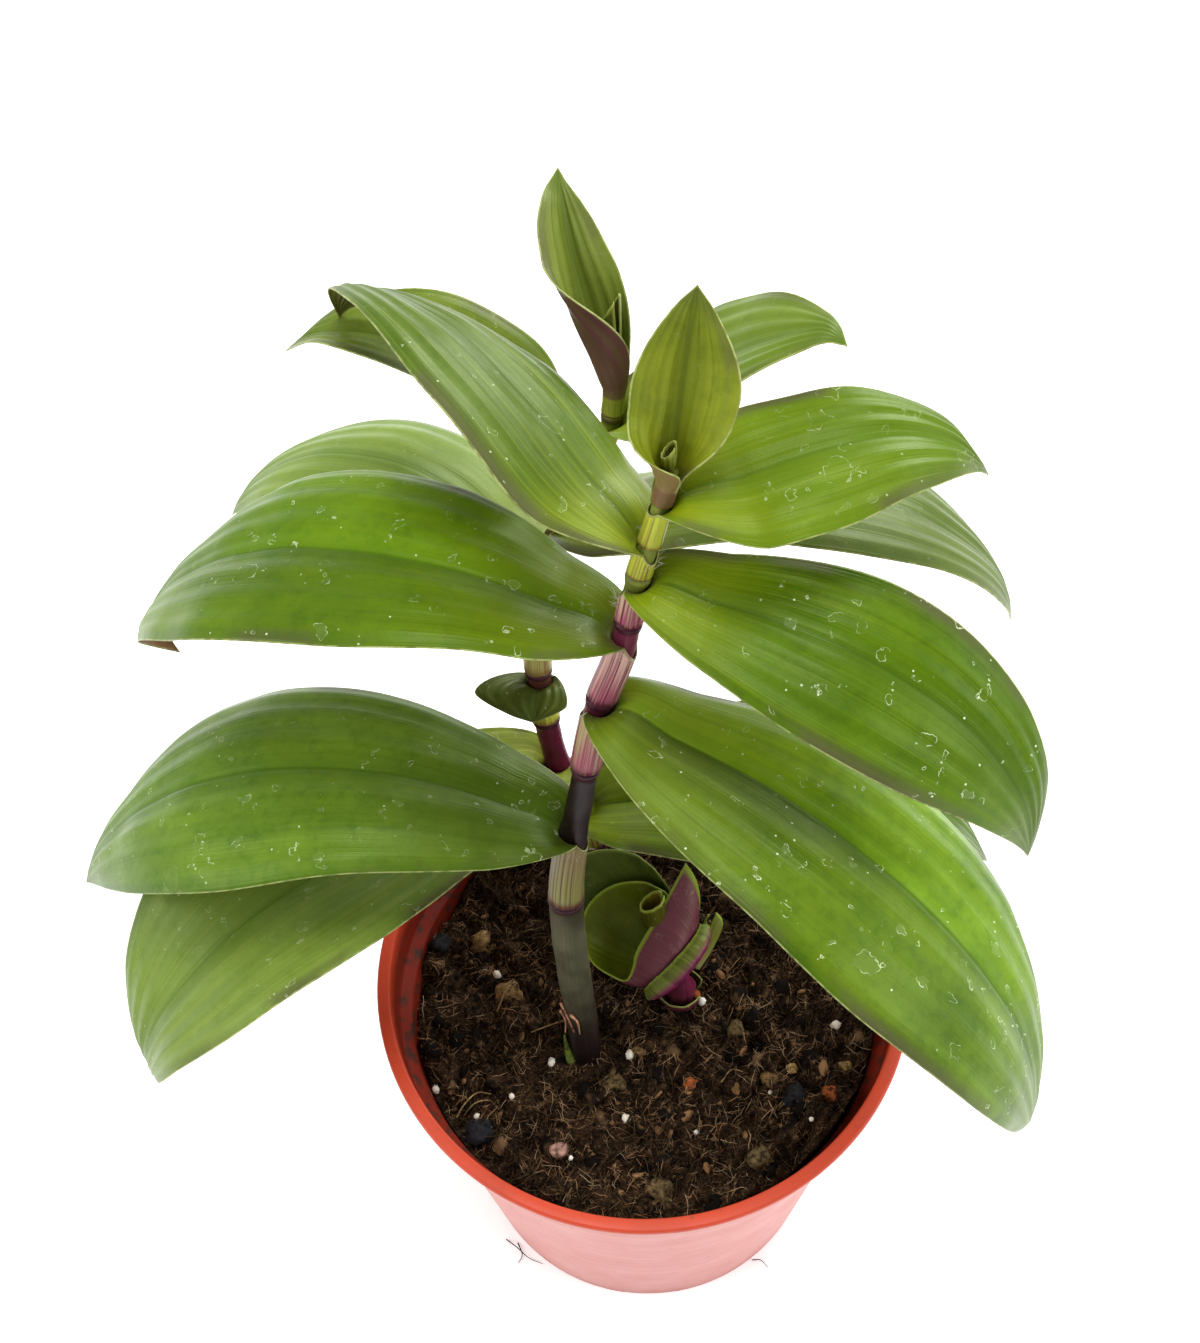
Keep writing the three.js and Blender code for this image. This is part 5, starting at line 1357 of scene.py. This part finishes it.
def strewing_tree():
    """Geometry Nodes that strew a collection's shapes over a surface, or stand one on each of its points."""
    given, result = effect(
        "strew_shapes",
        {"Geometry": "Geometry", "Shapes": "Collection", "Per Square Metre": "Float",
         "On Every Point": "Bool", "Smallest": "Float", "Largest": "Float", "Lean": "Float", "Sink": "Float",
         "Finish": "Material", "Seed": "Int"},
        {"Geometry": "Geometry"}, "GeometryNodeTree")
    tree = result.id_data

    def chance(step, inputs, output=1, data_type="FLOAT"):
        seeds = {"Seed": given["Seed"] + float(step)}
        return wired(tree, "FunctionNodeRandomValue", {**seeds, **inputs}, output, data_type=data_type)

    ground = given["Geometry"]
    scattered = place_node(tree, "GeometryNodeDistributePointsOnFaces", {
        "Mesh": ground, "Density": given["Per Square Metre"], "Seed": given["Seed"]},
        distribute_method="RANDOM")
    stored = wired(tree, "GeometryNodeStoreNamedAttribute", {
        "Geometry": Wire(scattered.outputs["Points"]), "Name": "out_of",
        "Value": Wire(scattered.outputs["Normal"])}, data_type="FLOAT_VECTOR", domain="POINT")
    on_points = wired(tree, "GeometryNodeMeshToPoints", {"Mesh": ground})
    chosen = wired(tree, "GeometryNodeSwitch", {
        "Switch": given["On Every Point"], "False": stored, "True": on_points}, input_type="GEOMETRY")
    out_of = wired(tree, "GeometryNodeInputNamedAttribute", {"Name": "out_of"}, data_type="FLOAT_VECTOR")
    standing = wired(tree, "FunctionNodeAlignEulerToVector", {"Vector": out_of}, axis="Z")
    either_way, full_turn = {2: -1.0, 3: 1.0}, {2: 0.0, 3: 6.283}
    turn = wired(tree, "ShaderNodeCombineXYZ", {
        0: chance(1, either_way) * given["Lean"], 1: chance(2, either_way) * given["Lean"],
        2: chance(3, full_turn)})
    leaning = wired(tree, "FunctionNodeRotateEuler", {"Rotation": standing, "Rotate By": turn}, space="LOCAL")
    shapes = wired(tree, "GeometryNodeCollectionInfo", {
        "Collection": given["Shapes"], "Separate Children": True, "Reset Children": True})
    placed = wired(tree, "GeometryNodeInstanceOnPoints", {
        "Points": chosen, "Instance": shapes, "Pick Instance": True,
        "Instance Index": chance(5, {4: 0, 5: 40}, 2, "INT"), "Rotation": leaning,
        "Scale": chance(4, {2: given["Smallest"], 3: given["Largest"]})})
    sunk = wired(tree, "GeometryNodeTranslateInstances", {
        "Instances": placed, "Translation": out_of.scaled(given["Sink"]), "Local Space": False})
    toned = wired(tree, "GeometryNodeStoreNamedAttribute", {
        "Geometry": sunk, "Name": "tone", "Value": chance(6, {2: 0.0, 3: 1.0})},
        data_type="FLOAT", domain="INSTANCE")
    whole = wired(tree, "GeometryNodeRealizeInstances", {"Geometry": toned})
    finished = wired(tree, "GeometryNodeSetMaterial", {"Geometry": whole, "Material": given["Finish"]})
    feed(result, {0: finished})
    return tree


STREWING = strewing_tree()


def strewn_piece(name, ground, shapes, material, seed, smallest, largest, density=0.0, every_point=False,
                 lean=0.0, sink=0.0):
    """Strews shapes over a ground mesh, sizes in metres, and keeps the result as a plain mesh."""
    modifier = ground.modifiers.new("strewing", "NODES")
    modifier.node_group = STREWING
    values = {"Shapes": shapes, "Per Square Metre": density, "On Every Point": every_point,
              "Smallest": smallest, "Largest": largest, "Lean": lean, "Sink": sink, "Finish": material,
              "Seed": seed}
    for socket in STREWING.interface.items_tree:
        if socket.in_out == "INPUT" and socket.name in values:
            modifier[socket.identifier] = values[socket.name]
    ground.update_tag()
    evaluated = ground.evaluated_get(bpy.context.evaluated_depsgraph_get())
    mesh = bpy.data.meshes.new_from_object(evaluated)
    ground.modifiers.remove(modifier)
    mesh.name = name
    mesh.shade_smooth()
    return put(name, mesh)


def shape_box(name, shapes):
    """A hidden collection of small shapes, each one unit long, from their points and faces."""
    box = bpy.data.collections.new(name)
    for i, (points, faces) in enumerate(shapes):
        mesh = bpy.data.meshes.new(f"{name}_{i}")
        mesh.from_pydata([tuple(map(float, point)) for point in points], [], faces)
        mesh.update()
        box.objects.link(bpy.data.objects.new(f"{name}_{i}", mesh))
    return box


def crumb_shape(seed, flatness=0.8, rows=4, sides=7):
    """A lump about one unit across, uneven all round."""
    points = [(0, 0, -0.5 * flatness)]
    for i in range(1, rows):
        tilt = math.pi * i / rows - math.pi / 2
        for k in range(sides):
            angle = 2 * math.pi * k / sides
            flat = math.cos(tilt)
            spot = Vector((flat * math.cos(angle), flat * math.sin(angle), math.sin(tilt)))
            size = 0.5 * (1 + 0.55 * noise.noise(spot * 1.3 + Vector((seed * 3.1, 0, seed))))
            points.append((spot.x * size, spot.y * size * 0.85, spot.z * size * flatness))
    points.append((0, 0, 0.5 * flatness))
    return points, closed_rings(rows - 1, sides)


def rough_crumb(seed):
    """A crumb with knocked-in sides."""
    points, faces = crumb_shape(seed, 0.75, 5, 8)
    random = seeded(seed * 61 + 7)
    return [tuple(part * (0.72 + 0.42 * next(random)) for part in point) for point in points], faces


def strand_shape(seed, thickness, bend, rise, joints):
    """A fine bent strand one unit long, lying along X, or standing on its foot where rise is 1."""
    random = seeded(seed * 977 + 11)
    turn, climb, spot = 0.0, 0.0, np.zeros(3)
    sections = []
    for i in range(joints + 1):
        turn += (next(random) - 0.5) * bend
        climb += (next(random) - 0.5) * bend * 0.5
        flat = np.array([math.cos(turn) * math.cos(climb), math.sin(turn) * math.cos(climb), math.sin(climb)])
        upright = np.array([math.sin(turn), math.sin(climb), math.cos(turn) * math.cos(climb)])
        heading = unit(flat * (1 - rise) + upright * rise)
        taper = 1 - 0.75 * (i / joints) ** 2 if rise else 0.6 + 0.4 * math.sin(math.pi * i / joints)
        sections.append((spot.copy(), heading, thickness * taper))
        spot = spot + heading / joints
    points, faces = tube(sections, STRAND_SIDES, STRAND_UP)
    if not rise:
        points = [point - sections[-1][0] / 2 for point in points]
    return points, faces


def chip_shape(seed):
    """A flat splinter of bark one unit long."""
    random = seeded(seed * 31 + 5)
    outline = []
    for k in range(CHIP_SIDES):
        angle = 2 * math.pi * k / CHIP_SIDES
        outline.append((0.5 * math.cos(angle) * (0.8 + 0.4 * next(random)),
                        0.24 * math.sin(angle) * (0.6 + 0.8 * next(random))))
    points = [(x, y, 0.05 + 0.05 * next(random)) for x, y in outline]
    points += [(x * 0.9, y * 0.9, -0.06) for x, y in outline]
    faces = [list(range(CHIP_SIDES)), list(range(CHIP_SIDES, 2 * CHIP_SIDES))[::-1]]
    for k in range(CHIP_SIDES):
        following = (k + 1) % CHIP_SIDES
        faces.append([k, k + CHIP_SIDES, following + CHIP_SIDES, following])
    return points, faces


def standing_piece(name, spots, shapes, material, **sizes):
    """One shape on each spot, each spot a place and the direction out of what carries it."""
    places, directions = zip(*spots)
    carrier = mesh_piece(f"{name}_spots", places, [], None, {"out_of": directions})
    piece = strewn_piece(name, carrier, shapes, material, every_point=True, **sizes)
    bpy.data.objects.remove(carrier)
    return piece


def joined(name, parts, material):
    """One piece from several (points, faces, tone) parts."""
    tones = [tone for points, _, tone in parts for _ in points]
    shapes = [(points, faces) for points, faces, _ in parts]
    return mesh_piece(name, *merged(shapes), material, {"tones": tones})


def bent_rod(corners, thickness, sides=6, taper=0.6):
    """A fine rod along a soft curve, thinner towards its end."""
    line = smooth_edge(corners, 5 * len(corners))
    ways = np.gradient(line, axis=0)
    radii = thickness * (1 - taper * np.linspace(0, 1, len(line)))
    return tube([(spot, unit(way), radius) for spot, way, radius in zip(line, ways, radii)], sides)


def beside_stem(stem, turn, z, off):
    reach = float(between(stem["radius"], z)) + off
    return stem_point(stem, z) + level_arm(math.radians(turn)) * reach


def pebble_parts():
    parts = []
    for i, (x, y, size, tone) in enumerate(PEBBLES):
        points, faces = crumb_shape(i + 3, 0.75, 8, 14)
        middle = np.array([x, y, soil_top_at(x, y) + 0.12 * size])
        reliefs = [1 + 0.35 * noise.noise(Vector(point) * 6 + Vector((i, 0, 0))) for point in points]
        points = [middle + np.array(point) * size * relief for point, relief in zip(points, reliefs)]
        parts.append((points, faces, tone))
    return parts


def root_parts():
    parts = []
    for line in SURFACE_ROOTS:
        corners = [(x, y, soil_top_at(x, y) + rise) for x, y, rise in line]
        parts.append((*bent_rod(corners, STRAW_THICKNESS), STRAW_TONE))
    return parts + [(*bent_rod(line, ROOT_THICKNESS), ROOT_TONE) for line in ROOT_ENDS]


def scrap_parts():
    lines = [[beside_stem(MAIN_STEM, *spot) for spot in line] for line in STEM_SCRAPS]
    return [(*bent_rod(line, SCRAP_THICKNESS), SCRAP_TONE) for line in lines]


def mouth_hair_spots():
    """Spots round the sheaths' mouths and a little below them, with the way each hair points."""
    random = seeded(91)
    spots = []
    for name in HAIRY_LEAVES:
        leaf = LEAVES[name]
        heading = math.radians(leaf["heading"])
        for _ in range(HAIRS_PER_MOUTH):
            turn = 2 * math.pi * next(random)
            behind = max(0.0, -math.cos(turn))
            z = leaf["mouth"] - leaf["dip"] * behind - HAIRY_BAND * next(random) ** 2
            arm = level_arm(heading + turn)
            reach = float(between(leaf["stem"]["radius"], z)) + HAIR_FOOT
            pointing = unit(arm * (0.4 + next(random)) + UP * 0.8)
            spots.append((stem_point(leaf["stem"], z) + arm * reach, pointing))
    return spots


# ---------------------------------------------------------------- the object

for name, leaf in LEAVES.items():
    finish = dict(LEAF_FINISH, **LEAF_FINISHES[name])
    skin = leaf_material(f"{name}_skin", finish, 1.7 * list(LEAVES).index(name))
    settle(leaf_piece(f"{name}_fine", leaf, skin), "young_leaf" if name.endswith("_tip") else "leaf", name)

STEM_LOOKS = {
    "main_stem": (MAIN_STEM, (0.03, 0.004, 0.012), 0.25),
    "back_stem": (BACK_STEM, (0.03, 0.002, 0.01), 0.4),
    "shoot_stem": (SHOOT_STEM, (0.06, 0.008, 0.025), 0.6),
}
for name, (stem, ring, streaks) in STEM_LOOKS.items():
    settle(stem_piece(f"{name}_fine", stem, stem_material(f"{name}_skin", ring, streaks)), "stem", name)

ROLLS = {"shoot_leaf_inner": (SHOOT_INNER, 40, 150)}
ROLLS.update({name: (wrap_leaf(SHOOT_INNER, wrap), 40, 70) for name, wrap in SHOOT_WRAPS.items()})
ROLLS.update({name: (small_roll(leaf), 20, 50) for name, leaf in SMALL_ROLLS.items()})
# Inside, outside, rim and base, then how strong the stripes are and where the base's colour fades out.
ROLL_LOOKS = {
    "shoot_leaf_inner": ((0.1, 0.125, 0.002), (0.145, 0.036, 0.057), (0.24, 0.36, 0.012), (0.12, 0.012, 0.04),
                         0.1),
    "shoot_leaf_back": ((0.065, 0.1, 0.01), (0.12, 0.03, 0.045), (0.16, 0.24, 0.03), (0.12, 0.012, 0.04)),
    "shoot_leaf_under": ((0.1, 0.12, 0.01), (0.16, 0.2, 0.03), (0.26, 0.36, 0.04), (0.19, 0.018, 0.085), 0.5,
                         (0.5, 0.8)),
    "shoot_leaf_core": ((0.17, 0.11, 0.003), (0.07, 0.075, 0.004), (0.28, 0.36, 0.02), (0.05, 0.05, 0.004)),
    "shoot_leaf_side": ((0.12, 0.17, 0.015), (0.17, 0.19, 0.025), (0.24, 0.33, 0.03), (0.26, 0.24, 0.08)),
    "shoot_bract": ((0.06, 0.02, 0.03), (0.12, 0.012, 0.045), (0.2, 0.24, 0.04), (0.24, 0.08, 0.07)),
    "main_leaf_roll": ((0.04, 0.04, 0.002), (0.13, 0.15, 0.01), (0.24, 0.27, 0.03), (0.1, 0.1, 0.01)),
    "back_leaf_roll": ((0.03, 0.03, 0.004), (0.06, 0.075, 0.01), (0.22, 0.25, 0.04), (0.05, 0.06, 0.01)),
}
for name, (leaf, rows, columns) in ROLLS.items():
    skin = rolled_material(f"{name}_skin", *ROLL_LOOKS[name])
    settle(rolled_leaf_piece(f"{name}_fine", leaf, skin, rows, columns), "rolled_leaf", name)

settle(pot_piece(pot_material()), "pot_plastic", "pot")
soil_skin = soil_material("peat_soil", (0.0025, 0.0015, 0.001), (0.03, 0.016, 0.008), (0.16, 0.09, 0.042))
soil, soil_points, soil_top = soil_piece(soil_skin)
settle(soil, "soil", "soil")

ground = mesh_piece("strewing_ground", soil_points, soil_top, soil_skin)
crumbs = shape_box("crumb_shapes", [crumb_shape(seed) for seed in range(5)])
rubble = shape_box("rubble_shapes", [rough_crumb(seed) for seed in range(6)])
strands = shape_box("strand_shapes", [strand_shape(seed, 0.024, 1.3, 0, 4) for seed in range(9)])
threads = shape_box("thread_shapes", [strand_shape(seed, 0.013, 1.1, 0, 5) for seed in range(20, 26)])
chips = shape_box("chip_shapes", [chip_shape(seed) for seed in range(4)])
hairs = shape_box("hair_shapes", [strand_shape(seed, 0.018, 0.5, 1, 4) for seed in range(4)])
# What lies on the soil: its shapes, its material from scrap_material's values, and how it is strewn.
STREWN = [
    ("soil_clods", rubble, ("clod_brown", (0.003, 0.0018, 0.001), (0.16, 0.092, 0.043), 1400.0, 0.8, 0.3),
     dict(seed=5, density=14000, smallest=0.002, largest=0.0055, lean=1.5, sink=-0.0008)),
    ("soil_crumbs", rubble, ("crumb_brown", (0.004, 0.0022, 0.0012), (0.18, 0.1, 0.048), 900.0, 0.8, 0.3),
     dict(seed=11, density=100000, smallest=0.0004, largest=0.0016, lean=1.5)),
    ("soil_strands", strands, ("strand_brown", (0.01, 0.005, 0.0025), (0.42, 0.24, 0.115), 700.0, 0.8, 0.3),
     dict(seed=23, density=530000, smallest=0.0016, largest=0.0044, lean=0.7, sink=0.0005)),
    ("soil_threads", threads, ("thread_tan", (0.1, 0.055, 0.025), (0.62, 0.44, 0.26), 600.0, 0.8, 0.3),
     dict(seed=29, density=190000, smallest=0.0018, largest=0.0062, lean=0.6, sink=0.001)),
    ("bark_chips", chips, ("bark_brown", (0.012, 0.006, 0.003), (0.3, 0.16, 0.07), 700.0),
     dict(seed=37, density=12000, smallest=0.0014, largest=0.0044, lean=0.9, sink=0.0003)),
]
for name, shapes, look, strewing in STREWN:
    settle(strewn_piece(name, ground, shapes, scrap_material(*look), **strewing), "soil")
bpy.data.objects.remove(ground)

perlite_spots = [((x, y, soil_top_at(x, y) + PERLITE_RISE), UP) for x, y in PERLITE]
perlite_skin = scrap_material("perlite_white", (0.75, 0.68, 0.56), (0.9, 0.88, 0.82), 1500.0)
settle(standing_piece("perlite", perlite_spots, crumbs, perlite_skin,
                      seed=3, smallest=0.0011, largest=0.0028, lean=1.5), "soil")
sprout = bent_rod([beside_stem(MAIN_STEM, *spot) for spot in SPROUT], 1.1, 10, 0.8)
LOOSE = [
    ("soil_pebbles", pebble_parts(), ("pebble_tones", 700.0), "soil"),
    ("loose_roots", root_parts(), ("root_tones", 500.0), "soil"),
    ("stem_scraps", scrap_parts(), ("scrap_tones", 500.0), "stem"),
    ("sprout", [(*sprout, SPROUT_TONE)], ("sprout_green", 300.0), "rolled_leaf"),
]
for name, parts, look, slot in LOOSE:
    settle(joined(name, parts, toned_material(*look)), slot)
hair_skin = scrap_material("hair_white", (0.6, 0.55, 0.45), (0.85, 0.82, 0.75), 300.0, 0.5)
settle(standing_piece("mouth_hairs", mouth_hair_spots(), hairs, hair_skin,
                      seed=8, smallest=0.0009, largest=0.0022, lean=0.4), "leaf")

# ---------------------------------------------------------------- studio

FLOOR_REACH = 4
floor_mesh = bpy.data.meshes.new("studio_floor")
floor_corners = [(x * FLOOR_REACH, y * FLOOR_REACH, 0) for x, y in ((-1, -1), (1, -1), (1, 1), (-1, 1))]
floor_mesh.from_pydata(floor_corners, [], [[0, 1, 2, 3]])
floor = put("studio_floor", floor_mesh)
floor_skin, floor_tree, floor_shader = new_material(
    "white_paper", Roughness=0.9, Specular_IOR_Level=0.1, Emission_Color=colour(1, 1, 1),
    Emission_Strength=0.35)
paper = mixed(object_place(floor_tree).clouds(30.0), colour(0.93, 0.93, 0.93), colour(0.95, 0.95, 0.95))
feed(floor_shader, {"Base Color": paper})
floor_mesh.materials.append(floor_skin)

world = bpy.data.worlds.new("studio")
world.use_nodes = True
feed(world.node_tree.nodes["Background"], {"Color": colour(1, 1, 1), "Strength": 0.55})
bpy.context.scene.world = world
LIT_PLACE = (0, 0, 0.15)


def soft_light(name, place, size, power):
    """A round light that faces the middle of the plant, its power in watts."""
    light = bpy.data.lights.new(name, "AREA")
    light.shape = "DISK"
    light.size = size
    light.energy = power
    lamp = put(name, light)
    lamp.location = place
    lamp.rotation_euler = (Vector(LIT_PLACE) - Vector(place)).to_track_quat("-Z", "Y").to_euler()


soft_light("left_softbox", (-1.25, -0.3, 0.85), 0.9, 11)
soft_light("right_softbox", (1.25, -0.3, 0.85), 0.9, 11)
soft_light("top_softbox", (0.0, 0.0, 1.8), 0.7, 17)
soft_light("back_softbox", (0.6, 1.1, 0.85), 0.8, 16)

# The camera stands where the photograph's perspective puts it.
CAMERA_PLACE = (0, -0.175888, 0.44233)
CAMERA_RIGHT = (0.9995184, -0.0057538, -0.0304937)
CAMERA_DOWN = (-0.0228486, -0.8013814, -0.5977172)
CAMERA_FORWARD = (-0.0209979, 0.5981261, -0.8011269)
PHOTO_FOCUS, PHOTO_HEIGHT, SENSOR = 1700, 1343, 36
lens = bpy.data.cameras.new("camera")
lens.sensor_fit = "VERTICAL"
lens.sensor_height = SENSOR
lens.lens = PHOTO_FOCUS / PHOTO_HEIGHT * SENSOR
lens.clip_start = 0.01
camera = put("camera", lens)
up_and_back = [[-part for part in direction] for direction in (CAMERA_DOWN, CAMERA_FORWARD)]
turned = Matrix((CAMERA_RIGHT, *up_and_back)).transposed()
camera.matrix_world = Matrix.Translation(CAMERA_PLACE) @ turned.to_4x4()
bpy.context.scene.camera = camera
bpy.context.scene.view_settings.view_transform = "Standard"
